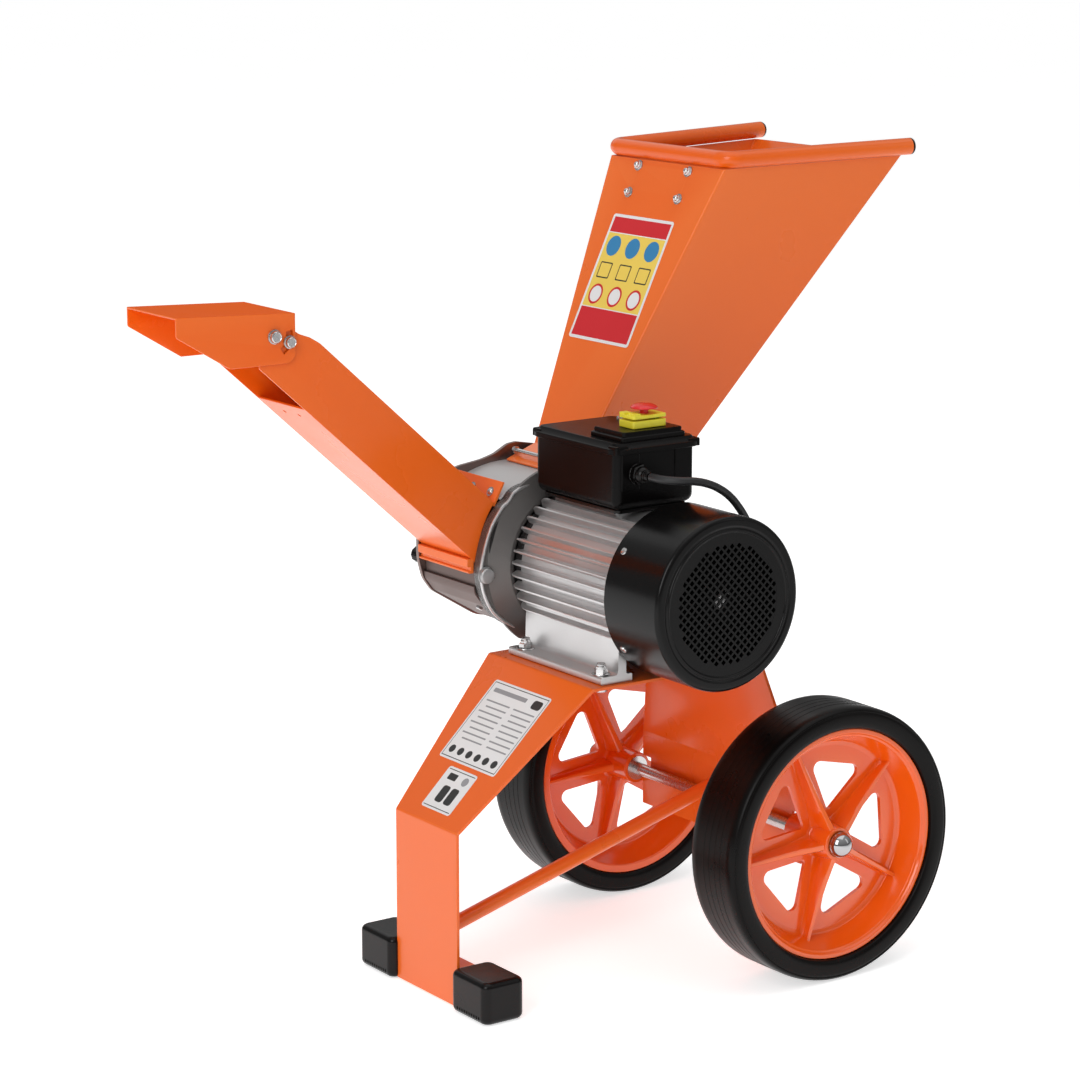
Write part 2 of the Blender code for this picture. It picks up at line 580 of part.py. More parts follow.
# Chute and deflector ------------------------------------------------------------------------------------


def up_chute(along, across):
    """(x, z) of a place that lies this far up the chute's line and this far across it."""
    spot = ALONG * along + ACROSS * across
    return spot.x, spot.y


def make_chute():
    centre = (0, 0, AXIS_Z)
    nose = [up_chute(*p) for p in ((0.3000, CHUTE_BOTTOM), (0.6250, CHUTE_BOTTOM))]
    around_pivot = arc(PIVOT, 0.0155, 190, 50, 6)
    shoulder = [(0.6130, 0.2600), (0.6020, 0.2645), (0.5900, CHUTE_TOP), (0.3000, CHUTE_TOP)]
    outline = nose + around_pivot + [up_chute(*p) for p in shoulder]
    y0, y1 = CHUTE_Y - CHUTE_HALF, CHUTE_Y + CHUTE_HALF
    chute = prism("discharge_chute", outline, y0, y1)
    low, high = CHUTE_BOTTOM + THIN, CHUTE_TOP - THIN
    channel = [up_chute(*p) for p in ((0.2500, low), (0.5630, low), (0.5640, CHUTE_BOTTOM - 0.03),
                                      (0.7500, CHUTE_BOTTOM - 0.03), (0.7500, CHUTE_TOP + 0.06),
                                      (0.5850, CHUTE_TOP + 0.06), (0.5840, high), (0.2500, high))]
    join(chute, box("chute_lip", (-0.1060, -0.0990), (y0, y1), (0.3560, 0.3740)))
    flange = [(-0.0766, 0.4218), (-0.0650, 0.4433), (-0.0632, 0.4424), (-0.0748, 0.4208)]
    cut(chute, prism("chute_channel", channel, y0 + THIN, y1 - THIN),
        rod("chute_foot_cut", centre, (0, 1, 0), 0.0955, 0.0, 0.3, 40))
    join(chute, prism("chute_flange", flange, y0 + 0.0003, y1 - 0.0003))
    cut(chute,
        rod("pivot_hole", (PIVOT[0], 0, PIVOT[1]), (0, 1, 0), 0.0036, 0.0, 0.3, 10),
        rod("clamp_hole", (-0.2968, 0, 0.5962), (0, 1, 0), 0.0031, 0.0, 0.3, 10))
    return chute


def make_deflector():
    outline = [(-0.2900, 0.6215), (-0.4100, 0.6265), (-0.4100, 0.6090), (-0.3570, 0.5770),
               (-0.3000, 0.5770), (-0.2930, 0.5800), (-0.2900, 0.5870)]
    half = CHUTE_HALF + 0.0006 + THIN
    hood = prism("deflector", outline, CHUTE_Y - half, CHUTE_Y + half)
    inner = [(-0.2700, 0.6187), (-0.4300, 0.6254), (-0.4300, 0.5000), (-0.2700, 0.5000)]
    cut(hood, prism("deflector_inside", inner, CHUTE_Y - half + THIN, CHUTE_Y + half - THIN),
        rod("deflector_pivot_hole", (PIVOT[0], 0, PIVOT[1]), (0, 1, 0), 0.00338, 0.0, 0.3, 24))
    slot = arc(PIVOT, 0.0200, -58, 14, 6) + arc(PIVOT, 0.0126, 14, -58, 6)
    cut(hood, prism("clamp_slot", slot, 0.0, 0.3))
    on_joint("deflector_axis", (PIVOT[0], CHUTE_Y, PIVOT[1]), hood)
    bolts = []
    reach = half + GAP
    for side, sign in (("a", -1), ("b", 1)):
        for name, spot, shank, head in (("pivot_bolt", PIVOT, 0.0033, 0.0065),
                                        ("clamp_bolt", (-0.2968, 0.5962), 0.0028, 0.0058)):
            bolts.append(turned(f"{name}_{side}", (spot[0], CHUTE_Y, spot[1]), (0, sign, 0), [
                (0, reach - 0.0066), (shank, reach - 0.0066), (shank, reach), (head, reach),
                (head, reach + 0.0045), (head * 0.8, reach + 0.0060), (0, reach + 0.0060)], 12))
    return hood, bolts


# Hopper -------------------------------------------------------------------------------------------------


def hopper_rings(inset, extend):
    """The four corners of the hopper at three heights, moved in by the sheet."""
    (x0, x1), z, half = NECK
    top_left, top_right = MOUTH_REAR, MOUTH_FRONT
    rear = (top_left[0] - x0) / (top_left[1] - z)
    front = (top_right[0] - x1) / (top_right[1] - z)
    drop = -0.1020 - extend
    levels = [
        ((x0 + rear * drop, z + drop, NECK_HALF), (x1 + front * drop, z + drop, NECK_HALF)),
        ((x0 + rear * -0.012, z - 0.012, NECK_HALF), (x1 + front * -0.012, z - 0.012, NECK_HALF))]
    for grow in (0.0, 1.0):
        lift = -0.0088 + extend if grow else 0.0
        levels.append((
            (x0 + (top_left[0] - x0) * grow + rear * lift, z + (top_left[1] - z) * grow + lift,
             half + (top_left[2] - half) * grow + 0.18 * lift),
            (x1 + (top_right[0] - x1) * grow + front * lift, z + (top_right[1] - z) * grow + lift,
             half + (top_right[2] - half) * grow + 0.26 * lift)))
    rings = []
    for (xa, za, ha), (xb, zb, hb) in levels:
        xa, xb, ha, hb = xa + inset * 1.11, xb - inset * 1.22, ha - inset * 1.03, hb - inset * 1.03
        rings.append([(xa, MID_Y - ha, za), (xb, MID_Y - hb, zb), (xb, MID_Y + hb, zb), (xa, MID_Y + ha, za)])
    return rings


def rear_wall_rings(edge, extend, x0, x1):
    """The hopper's rear wall at the same heights, this far short of its side walls and between two depths."""
    rings = []
    for (x, y, z), *_ in hopper_rings(0.0, extend):
        half = MID_Y - y - edge
        rings.append([(x + x0, MID_Y - half, z), (x + x1, MID_Y - half, z),
                      (x + x1, MID_Y + half, z), (x + x0, MID_Y + half, z)])
    return rings


def make_hopper():
    """Two side walls and a front wall in one bent sheet, and a rear wall between their narrow return edges."""
    edge = THIN * 1.03 + 0.0030
    hopper = skin("hopper", hopper_rings(0.0, 0.0))
    cut(hopper, skin("hopper_inside", hopper_rings(THIN, 0.012)),
        skin("hopper_rear_gap", rear_wall_rings(edge, 0.012, -0.02, 0.01)),
        rod("hopper_foot_cut", (0, 0, AXIS_Z), (0, 1, 0), 0.0952, 0.0, 0.3, 40))
    rear_wall = skin("hopper_rear", rear_wall_rings(edge + GAP, 0.0, 0.0, THIN * 1.11))
    cut(rear_wall, rod("hopper_rear_cut", (0, 0, AXIS_Z), (0, 1, 0), 0.0952, 0.0, 0.3, 40))
    flange = [(-0.0085, 0.4476), (0.0260, 0.4606), (0.0266, 0.4585), (-0.0078, 0.4456)]
    half = NECK_HALF - edge - GAP
    join(rear_wall, prism("hopper_flange", flange, MID_Y - half, MID_Y + half))
    corner = 0.0140
    path = []
    rear, front = Vector(MOUTH_REAR), Vector(MOUTH_FRONT)
    end = 0.3620
    spread = (front.z - rear.z) / (front.x - rear.x)
    rise = (front.y - rear.y) / (front.x - rear.x)
    for sign in (-1, 1):
        side = [(end, sign * (rear.z + spread * (end - rear.x)))]
        for k in range(5):
            turn = math.radians(90 * k / 4)
            side.append((rear.x + corner - corner * math.sin(turn),
                         sign * (rear.z - corner + corner * math.cos(turn))))
        path += side if sign < 0 else side[::-1]
    path = [Vector((x, MID_Y + y, rear.y + rise * (x - rear.x))) for x, y in path]
    rings = []
    for i, point in enumerate(path):
        way = (path[min(i + 1, len(path) - 1)] - path[max(i - 1, 0)]).normalized()
        up = Vector((0, 0, 1))
        side = way.cross(up).normalized()
        up = side.cross(way)
        turns = [2 * math.pi * k / 10 for k in range(10)]
        rings.append([point + (side * math.cos(t) + up * math.sin(t)) * RIM_TUBE_R for t in turns])
    tube = skin("hopper_rim", rings, smooth=True)
    caps = []
    for side, tip, back in (("a", path[0], path[1]), ("b", path[-1], path[-2])):
        way = (tip - back).normalized()
        caps.append(turned(f"rim_cap_{side}", tip + way * GAP, way, [
            (0, 0.0), (RIM_TUBE_R, 0.0), (RIM_TUBE_R, 0.0015), (0.0060, 0.0035), (0, 0.0042)], 12))
    return hopper, rear_wall, tube, caps


def make_feed_flap(rear_wall):
    """A rubber flap that hangs inside the hopper, and the strip with four studs that holds it."""
    lean = math.atan2(MOUTH_REAR[0] - NECK[0][0], MOUTH_REAR[1] - NECK[1])
    down = Vector((-math.sin(lean), 0, -math.cos(lean)))
    out = Vector((-math.cos(lean), 0, math.sin(lean)))
    top = Vector((MOUTH_REAR[0], MID_Y, MOUTH_REAR[1]))
    rings = []
    for reach in (0.0120, 0.0500):
        spot = top + down * reach
        corners = []
        for depth in (-THIN * 1.06 - GAP, -THIN * 1.06 - GAP - 0.0030):
            for y in (-0.0480, 0.0480) if depth > -0.003 else (0.0480, -0.0480):
                corners.append(spot + out * depth + Vector((0, y, 0)))
        rings.append(corners)
    strip = skin("flap_clamp", rings)
    for i, (reach, y) in enumerate(((0.0165, -0.0393), (0.0165, 0.0393), (0.0447, -0.0393), (0.0447, 0.0393))):
        spot = top + down * reach + Vector((0, y, 0))
        cut(rear_wall, rod(f"stud_hole_{i}", spot, out, 0.0034, -0.008, 0.008, 10))
        join(strip, turned(f"stud_{i}", spot, out, [
            (0, -0.0040), (0.0030, -0.0040), (0.0030, 0.0003), (0.0055, 0.0003), (0.0055, 0.0040),
            (0, 0.0064)], 8))
    x, z = FLAP_HINGE
    flap = skin("feed_flap", [[(x - 0.0015, MID_Y - h, level), (x + 0.0015, MID_Y - h, level),
                               (x + 0.0015, MID_Y + h, level), (x - 0.0015, MID_Y + h, level)]
                              for level, h in ((0.5500, 0.0520), (z, 0.0800))])
    on_joint("feed_flap_axis", (x, MID_Y, z), flap)
    return strip, flap


clear_scene()
ROOT = bpy.data.objects.new("footprint_origin", None)
bpy.context.scene.collection.objects.link(ROOT)
ROOT.location = (-CENTRE[0], -CENTRE[1], 0)

ORANGE = material("orange_paint", (0.86, 0.16, 0.02), 0.0, 0.35)
BLACK = material("black_plastic", (0.02, 0.02, 0.022), 0.0, 0.45)
RUBBER = material("black_rubber", (0.015, 0.015, 0.016), 0.0, 0.7)
ALUMINIUM = material("cast_aluminium", (0.62, 0.62, 0.64), 0.9, 0.45)
STEEL = material("bright_steel", (0.6, 0.6, 0.62), 1.0, 0.3)
CHROME = material("chrome", (0.8, 0.8, 0.82), 1.0, 0.08)
COPPER = material("copper", (0.75, 0.33, 0.15), 1.0, 0.4)
DARK_IRON = material("dark_iron", (0.08, 0.08, 0.09), 0.3, 0.5)
YELLOW = material("yellow_plastic", (0.82, 0.7, 0.05), 0.0, 0.4)
RED = material("red_plastic", (0.7, 0.02, 0.02), 0.0, 0.35)
GREEN = material("green_plastic", (0.03, 0.4, 0.08), 0.0, 0.4)

stand, crossbar, foot_caps, brace = make_stand()
axle = rod("axle", (AXLE[0], 0, AXLE[1]), (0, 1, 0), AXLE_R, -0.1870, 0.1870, 30)
wheels = [make_wheel(side, sign) for side, sign in (("a", -1), ("b", 1))]
housing, stator, windings, bells, bearings, shaft, core = make_motor()
fan, cowl = make_fan(), make_cowl()
foot_bolts = [make_foot_bolt(i, x, y) for i, (x, y) in enumerate(FOOT_BOLTS)]
box_body, lid, capacitor, gland = make_switch_box()
base, start, switch_flap, mushroom = make_switch()
cord, plug = make_cord()
flange, plate, cover, liner, anvil, tie = make_chamber()
drum, knives = make_cutter()
on_joint("shaft_axis", (0, 0, AXIS_Z), shaft, core, fan, drum, *knives)
chute = make_chute()
deflector, chute_bolts = make_deflector()
hopper, rear_wall, rim_tube, rim_caps = make_hopper()
strip, feed_flap = make_feed_flap(rear_wall)

paint(ORANGE, stand, crossbar, brace, chute, deflector, hopper, rear_wall, rim_tube, *(w[0] for w in wheels))
paint(RUBBER, feed_flap, *foot_caps, *(w[1] for w in wheels))
paint(CHROME, *(w[2] for w in wheels))
paint(BLACK, cowl, box_body, lid, gland, fan, cord, plug, *rim_caps)
paint(ALUMINIUM, housing, flange, plate, cover)
paint(DARK_IRON, *bells, stator, core, drum)
paint(STEEL, axle, shaft, liner, anvil, tie, strip, *bearings, *foot_bolts, *chute_bolts, *knives)
paint(COPPER, *windings)
paint(ALUMINIUM, capacitor)
paint(YELLOW, base, switch_flap)
paint(RED, mushroom)
paint(GREEN, start)
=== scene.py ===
"""Looks for a compact electric wood chipper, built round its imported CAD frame.

Metres. Places are given from the motor axis in X and Y and from the ground in Z, and piece() moves each shape
by ORIGIN into the frame. The shaft runs along Y: fan at -Y, cutter at +Y, chute at -X, wheels at +X.
"""
import math

import bmesh
import bpy
from mathutils import Matrix, Vector


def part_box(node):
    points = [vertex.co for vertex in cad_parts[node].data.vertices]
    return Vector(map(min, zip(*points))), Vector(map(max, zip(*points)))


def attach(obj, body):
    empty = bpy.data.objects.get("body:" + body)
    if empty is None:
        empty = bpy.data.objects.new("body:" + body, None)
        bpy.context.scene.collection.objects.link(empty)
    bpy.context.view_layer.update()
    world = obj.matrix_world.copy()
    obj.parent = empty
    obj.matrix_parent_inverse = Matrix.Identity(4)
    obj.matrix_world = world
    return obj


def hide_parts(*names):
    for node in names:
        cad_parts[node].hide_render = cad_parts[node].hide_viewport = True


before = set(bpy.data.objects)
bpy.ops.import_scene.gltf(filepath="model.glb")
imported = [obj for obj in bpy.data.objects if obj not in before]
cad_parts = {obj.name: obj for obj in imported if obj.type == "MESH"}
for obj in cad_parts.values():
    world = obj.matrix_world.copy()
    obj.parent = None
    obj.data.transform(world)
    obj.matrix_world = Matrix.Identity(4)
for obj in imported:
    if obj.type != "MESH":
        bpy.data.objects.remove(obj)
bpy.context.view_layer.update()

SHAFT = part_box("motor_shaft")
AXIS_Z = (SHAFT[0][2] + SHAFT[1][2]) / 2
ORIGIN = Vector(((SHAFT[0][0] + SHAFT[1][0]) / 2, SHAFT[0][1] + 0.1480, 0))
MID_Y = 0.1365                # middle of the hopper
CHUTE_Y = 0.1408              # middle of the chute
AXLE = Vector((0.1135, 0, 0.1295))
STAND_TOP = 0.2857            # where the motor's feet stand
HUB = (0, 0, AXIS_Z)          # the motor shaft, seen along Y
FORWARD = (0, 1, 0)           # along the shaft, towards the cutter


# Materials ---------------------------------------------------------------------------------------------


def node(tree, kind, inputs, **settings):
    """A shader node's outputs. An input takes a value, or a link where it is given a socket."""
    made = tree.nodes.new("ShaderNode" + kind)
    for name, value in settings.items():
        setattr(made, name, value)
    wire(tree, made, inputs)
    return made.outputs


def wire(tree, made, inputs):
    for name, value in inputs.items():
        if isinstance(value, bpy.types.NodeSocket):
            tree.links.new(value, made.inputs[name])
        else:
            made.inputs[name].default_value = value


def look(name, colour, rough, metallic=0.0, specular=0.5, mottle=(7.0, 0.05), grain=(900.0, 0.12, 0.0002),
         spread=0.05, stretch=None, painted_edge_highlight=None, coat=0.0):
    """A procedural surface: colour mottle, a roughness that varies with it, fine bump, and a painted
    highlight on sharp edges.

    mottle is (scale, strength), grain is (scale, strength, metres) and painted_edge_highlight is (colour,
    share): the colour is painted onto sharp convex edges as a highlight.
    """
    made = bpy.data.materials.new(name)
    made.use_nodes = True
    tree = made.node_tree
    place = grain_place = node(tree, "TexCoord", {})["Object"]
    if stretch:
        grain_place = node(tree, "Mapping", {"Vector": place, "Scale": stretch})["Vector"]
    clouds = node(tree, "TexNoise", {"Vector": place, "Scale": mottle[0], "Detail": 5})["Fac"]
    dark, pale = [(*[min(1, c * share) for c in colour], 1) for share in (1 - mottle[1], 1 + mottle[1])]
    tone = node(tree, "Mix", {"Factor": clouds, "A": dark, "B": pale}, data_type="RGBA")["Result"]
    fine = node(tree, "TexNoise", {"Vector": grain_place, "Scale": grain[0], "Detail": 3})["Fac"]
    # Painted highlight: a lighter colour is mixed in where the surface is sharply convex, standing for light
    # caught along the edges.
    if painted_edge_highlight:
        edge = node(tree, "NewGeometry", {})["Pointiness"]
        share = node(tree, "MapRange", {"Value": edge, "From Min": 0.52, "From Max": 0.62,
                                        "To Max": painted_edge_highlight[1]})["Result"]
        tone = node(tree, "Mix", {"Factor": share, "A": tone, "B": (*painted_edge_highlight[0], 1)}, data_type="RGBA")["Result"]
    ruffle = node(tree, "MapRange", {"Value": fine if stretch else clouds, "From Min": 0.3, "From Max": 0.7,
                                     "To Min": rough - spread, "To Max": rough + spread})["Result"]
    bump = node(tree, "Bump", {"Height": fine, "Strength": grain[1], "Distance": grain[2]})["Normal"]
    wire(tree, tree.nodes["Principled BSDF"], {
        "Base Color": tone, "Roughness": ruffle, "Normal": bump, "Metallic": metallic,
        "Specular IOR Level": specular, "Coat Weight": coat, "Coat Roughness": 0.12})
    return made


# The lighter orange in painted_edge_highlight is a painted highlight along the sharp edges of the sheet
# parts.
ORANGE = look("orange_powder_coat", (0.84, 0.118, 0.003), 0.30, specular=0.30, coat=0.28, mottle=(9, 0.03),
              grain=(520, 0.10, 0.0004), painted_edge_highlight=((0.93, 0.26, 0.06), 0.45))
MATT_ORANGE = look("orange_top_face", (0.84, 0.118, 0.003), 0.60, specular=0.04, mottle=(9, 0.03),
                   grain=(520, 0.10, 0.0004))
# The lighter orange in painted_edge_highlight paints a highlight along the rim's sharp edges.
RIM_ORANGE = look("orange_rim", (0.86, 0.112, 0.004), 0.17, specular=0.50, coat=0.45, mottle=(14, 0.03),
                  grain=(700, 0.05, 0.0003), painted_edge_highlight=((0.93, 0.26, 0.08), 0.4))
BLACK = look("black_shell", (0.0024, 0.0020, 0.0020), 0.28, specular=0.10, grain=(1500, 0.20, 0.0002))
GLOSS_BLACK = look("black_cowl", (0.0030, 0.0028, 0.0028), 0.22, specular=0.20, grain=(1200, 0.10, 0.0002))
TYRE = look("tyre_rubber", (0.0022, 0.0016, 0.0014), 0.30, specular=0.13, mottle=(20, 0.15),
            grain=(1300, 0.15, 0.0003), spread=0.07)
RUBBER = look("soft_rubber", (0.0030, 0.0024, 0.0023), 0.24, specular=0.22, mottle=(30, 0.2),
              grain=(1100, 0.25, 0.0003))
FLAP_RUBBER = look("flap_rubber", (0.020, 0.020, 0.021), 0.65, mottle=(30, 0.2), grain=(800, 0.4, 0.0004))
CAST = look("cast_aluminium", (0.66, 0.65, 0.65), 0.36, metallic=0.85, mottle=(25, 0.05),
            grain=(1600, 0.25, 0.0002), spread=0.06)
GREY_CAST = look("grey_casting", (0.15, 0.14, 0.135), 0.38, metallic=0.6, mottle=(30, 0.08),
                 grain=(1100, 0.35, 0.0003))
SHEET_GREY = look("grey_sheet", (0.50, 0.50, 0.50), 0.42, metallic=0.35, mottle=(18, 0.04),
                  grain=(900, 0.12, 0.0003))
# Painted reflection: a dark reddish tint in the ground steel's colour stands for the orange paint it
# reflects.
PLATE = look("ground_plate", (0.26, 0.205, 0.19), 0.36, metallic=1.0, mottle=(10, 0.05),
             grain=(260, 0.10, 0.0002), stretch=(1, 1, 6))
DARK = look("dark_casting", (0.014, 0.013, 0.013), 0.5, metallic=0.3, mottle=(40, 0.15),
            grain=(900, 0.4, 0.0004))
ZINC = look("zinc_plate", (0.62, 0.61, 0.61), 0.24, metallic=1.0, mottle=(120, 0.06),
            grain=(2200, 0.08, 0.0001))
DULL_ZINC = look("dull_zinc", (0.42, 0.42, 0.42), 0.42, metallic=0.8, mottle=(120, 0.06),
                 grain=(2200, 0.10, 0.0001))
# Painted reflection: a dark pinkish tint in this steel's colour stands for the orange paint it reflects. It
# is used on the drum trough and the shield beside it.
TROUGH = look("trough_steel", (0.17, 0.125, 0.115), 0.50, metallic=0.6, mottle=(14, 0.06),
              grain=(1500, 0.12, 0.0002))
STEEL = look("turned_steel", (0.58, 0.57, 0.57), 0.25, metallic=1.0, mottle=(60, 0.06),
             grain=(300, 0.10, 0.0001), stretch=(1, 8, 1))
CHROME = look("chrome_plate", (0.46, 0.46, 0.47), 0.05, metallic=1.0, mottle=(60, 0.02),
              grain=(1500, 0.01, 0.0001), spread=0.02)
COPPER = look("wound_copper", (0.72, 0.30, 0.14), 0.35, metallic=1.0, mottle=(90, 0.15),
              grain=(900, 0.5, 0.0004), stretch=(6, 1, 6))
YELLOW = look("yellow_plastic", (0.80, 0.70, 0.035), 0.33, mottle=(60, 0.03), grain=(1800, 0.08, 0.0002))
RED = look("red_plastic", (0.72, 0.016, 0.018), 0.25, mottle=(60, 0.03), grain=(1800, 0.05, 0.0002))
GREEN = look("green_plastic", (0.03, 0.38, 0.08), 0.3, mottle=(60, 0.03), grain=(1800, 0.05, 0.0002))
CORD_JACKET = look("cord_jacket", (0.020, 0.020, 0.021), 0.42, specular=0.4, mottle=(60, 0.12),
                   grain=(1600, 0.2, 0.0002))
PAPER = look("label_film", (0.80, 0.80, 0.80), 0.35, mottle=(40, 0.02), grain=(900, 0.03, 0.0001))
PRINTS = [look(f"print_{name}", colour, 0.35, mottle=(40, 0.03), grain=(900, 0.03, 0.0001))
          for name, colour in (("yellow", (0.86, 0.62, 0.10)), ("red", (0.62, 0.012, 0.020)),
                               ("blue", (0.03, 0.22, 0.46)), ("dark", (0.02, 0.02, 0.02)),
                               ("grey", (0.30, 0.30, 0.31)))]


def clear_plastic():
    made = look("clear_plastic", (0.9, 0.9, 0.92), 0.08, mottle=(60, 0.01), grain=(900, 0.02, 0.0001))
    made.node_tree.nodes["Principled BSDF"].inputs["Transmission Weight"].default_value = 0.8
    return made


# Shapes ------------------------------------------------------------------------------------------------


def fillet(points, radius=0.0, steps=4, closed=True):
    """An outline with its corners rounded. A point may carry its own radius as a third number."""
    spots = [(Vector(p[:2]), p[2] if len(p) > 2 else radius) for p in points]
    out = []
    for i, (spot, size) in enumerate(spots):
        if size <= 0 or (not closed and i in (0, len(spots) - 1)):
            out.append(spot)
            continue
        before, after = spots[i - 1][0] - spot, spots[(i + 1) % len(spots)][0] - spot
        bend = before.angle(after)
        if bend > math.pi - 0.02:
            out.append(spot)
            continue
        reach = min(size / math.tan(bend / 2), 0.49 * before.length, 0.49 * after.length)
        centre = spot + (before.normalized() + after.normalized()).normalized() * reach / math.cos(bend / 2)
        a, b = spot + before.normalized() * reach - centre, spot + after.normalized() * reach - centre
        start, end = math.atan2(a.y, a.x), math.atan2(b.y, b.x)
        sweep = (end - start + math.pi) % (2 * math.pi) - math.pi
        for k in range(steps + 1):
            turn = start + sweep * k / steps
            out.append(centre + Vector((math.cos(turn), math.sin(turn))) * a.length)
    return out


def rounded_rect(xs, ys, radius, steps=5):
    return fillet([(xs[0], ys[0]), (xs[1], ys[0]), (xs[1], ys[1]), (xs[0], ys[1])], radius, steps)


def smooth(points, steps):
    """Points of an open Catmull-Rom curve."""
    spots = [Vector(p) for p in points]
    ends = [2 * spots[0] - spots[1], *spots, 2 * spots[-1] - spots[-2]]
    out = []
    for a, b, c, d in zip(ends, ends[1:], ends[2:], ends[3:]):
        for k in range(steps):
            t = k / steps
            out.append(0.5 * (2 * b + (c - a) * t + (2 * a - 5 * b + 4 * c - d) * t ** 2
                              + (3 * b - a - 3 * c + d) * t ** 3))
    return out + [spots[-1]]


def quarter_turn(steps):
    return [math.pi / 2 * k / steps for k in range(steps + 1)]


def spoke(turn):
    """Unit vectors out from and round the Y axis."""
    return Vector((math.cos(turn), 0, math.sin(turn))), Vector((-math.sin(turn), 0, math.cos(turn)))


LAYOUT = {"y": lambda a, b, c: (a, c, b), "z": lambda a, b, c: (a, b, c)}


class Shape:
    """A mesh made of closed shells. paint is the index of the material that the next faces take."""

    def __init__(self):
        self.bm = bmesh.new()
        self.paint = 0

    def loft(self, rings, closed=False):
        rows = [[self.bm.verts.new(p) for p in ring] for ring in rings]
        made = []
        if not closed:
            made += [self.bm.faces.new(rows[0][::-1]), self.bm.faces.new(rows[-1])]
        for low, high in [*zip(rows, rows[1:])] + ([(rows[-1], rows[0])] if closed else []):
            for i in range(len(low)):
                j = (i + 1) % len(low)
                made.append(self.bm.faces.new((low[i], low[j], high[j], high[i])))
        for face in made:
            face.material_index = self.paint
        return self

    def prism(self, outline, axis, low, high):
        """An outline carried along an axis: (x, z) points for y and (x, y) for z."""
        return self.loft([[LAYOUT[axis](p[0], p[1], d) for p in outline] for d in (low, high)])

    def block(self, xs, ys, zs):
        return self.prism([(xs[0], ys[0]), (xs[1], ys[0]), (xs[1], ys[1]), (xs[0], ys[1])], "z", *zs)

    def lathe(self, centre, axis, profile, steps=64, first=0.0):
        """(radius, distance) points turned about an axis. One that starts on the axis also ends on it."""
        axis = Vector(axis).normalized()
        side = Vector((1, 0, 0)) if abs(axis.x) < 0.9 else Vector((0, 0, 1))
        side = (side - axis * side.dot(axis)).normalized()
        up = axis.cross(side)
        centre = Vector(centre)
        solid = profile[0][0] < 1e-7
        body = profile[1:-1] if solid else profile
        rows = []
        for i in range(steps):
            turn = first + 2 * math.pi * i / steps
            out = side * math.cos(turn) + up * math.sin(turn)
            rows.append([self.bm.verts.new(centre + axis * p[1] + out * p[0]) for p in body])
        tips = [self.bm.verts.new(centre + axis * profile[k][1]) for k in (0, -1)] if solid else []
        for i in range(steps):
            a, b = rows[i], rows[(i + 1) % steps]
            made = []
            if solid:
                made += [self.bm.faces.new((tips[0], a[0], b[0])), self.bm.faces.new((tips[1], b[-1], a[-1]))]
            for k in range(len(body) - (1 if solid else 0)):
                n = (k + 1) % len(body)
                made.append(self.bm.faces.new((a[k], a[n], b[n], b[k])))
            for face in made:
                face.material_index = self.paint
        return self

    def rod(self, centre, axis, radius, low, high, steps=32):
        return self.lathe(centre, axis, [(0, low), (radius, low), (radius, high), (0, high)], steps)

    def tube(self, path, radius, steps=20):
        """A round bar along a path."""
        spots = [Vector(p) for p in path]
        rings, side = [], None
        for i, spot in enumerate(spots):
            way = (spots[min(i + 1, len(spots) - 1)] - spots[max(i - 1, 0)]).normalized()
            if side is None:
                side = way.orthogonal().normalized()
            side = (side - way * side.dot(way)).normalized()
            up = way.cross(side)
            rings.append([spot + (side * math.cos(t) + up * math.sin(t)) * radius
                          for t in (2 * math.pi * k / steps for k in range(steps))])
        return self.loft(rings)

    def hex(self, centre, axis, across, low, high, first=0.3):
        """A hexagon head or nut with a chamfered top."""
        out, soft = across * 0.577, across * 0.08
        return self.lathe(centre, axis, [(0, low), (out, low), (out, high - soft), (across * 0.48, high),
                                         (0, high)], 6, first)

    def dome(self, centre, axis, radius, low, height):
        """A domed cap that stands on a plane."""
        arch = [(radius * math.cos(t), low + height * math.sin(t)) for t in quarter_turn(6)]
        return self.lathe(centre, axis, [(0, low), *arch[:-1], (0, low + height)], 24)


def evaluated(obj):
    """Replaces an object's mesh by what its modifiers make of it."""
    graph = bpy.context.evaluated_depsgraph_get()
    mesh = bpy.data.meshes.new_from_object(obj.evaluated_get(graph))
    obj.modifiers.clear()
    old, obj.data = obj.data, mesh
    bpy.data.meshes.remove(old)


def carve(obj, cutter):
    """Cuts a Shape out of an object."""
    bmesh.ops.recalc_face_normals(cutter.bm, faces=cutter.bm.faces)
    mesh = bpy.data.meshes.new("cutter")
    cutter.bm.to_mesh(mesh)
    cutter.bm.free()
    mesh.transform(Matrix.Translation(ORIGIN))
    tool = bpy.data.objects.new("cutter", mesh)
    bpy.context.scene.collection.objects.link(tool)
    step = obj.modifiers.new("carve", "BOOLEAN")
    step.operation, step.solver, step.object = "DIFFERENCE", "EXACT", tool
    evaluated(obj)
    bpy.data.objects.remove(tool)


def soften(obj, width, angle=30):
    """Rounded edges, with shading that keeps the flats flat."""
    if width:
        step = obj.modifiers.new("edges", "BEVEL")
        step.width, step.segments, step.limit_method = width, 2, "ANGLE"
        step.angle_limit = math.radians(angle)
        step.use_clamp_overlap = True
    obj.modifiers.new("shading", "WEIGHTED_NORMAL").keep_sharp = True


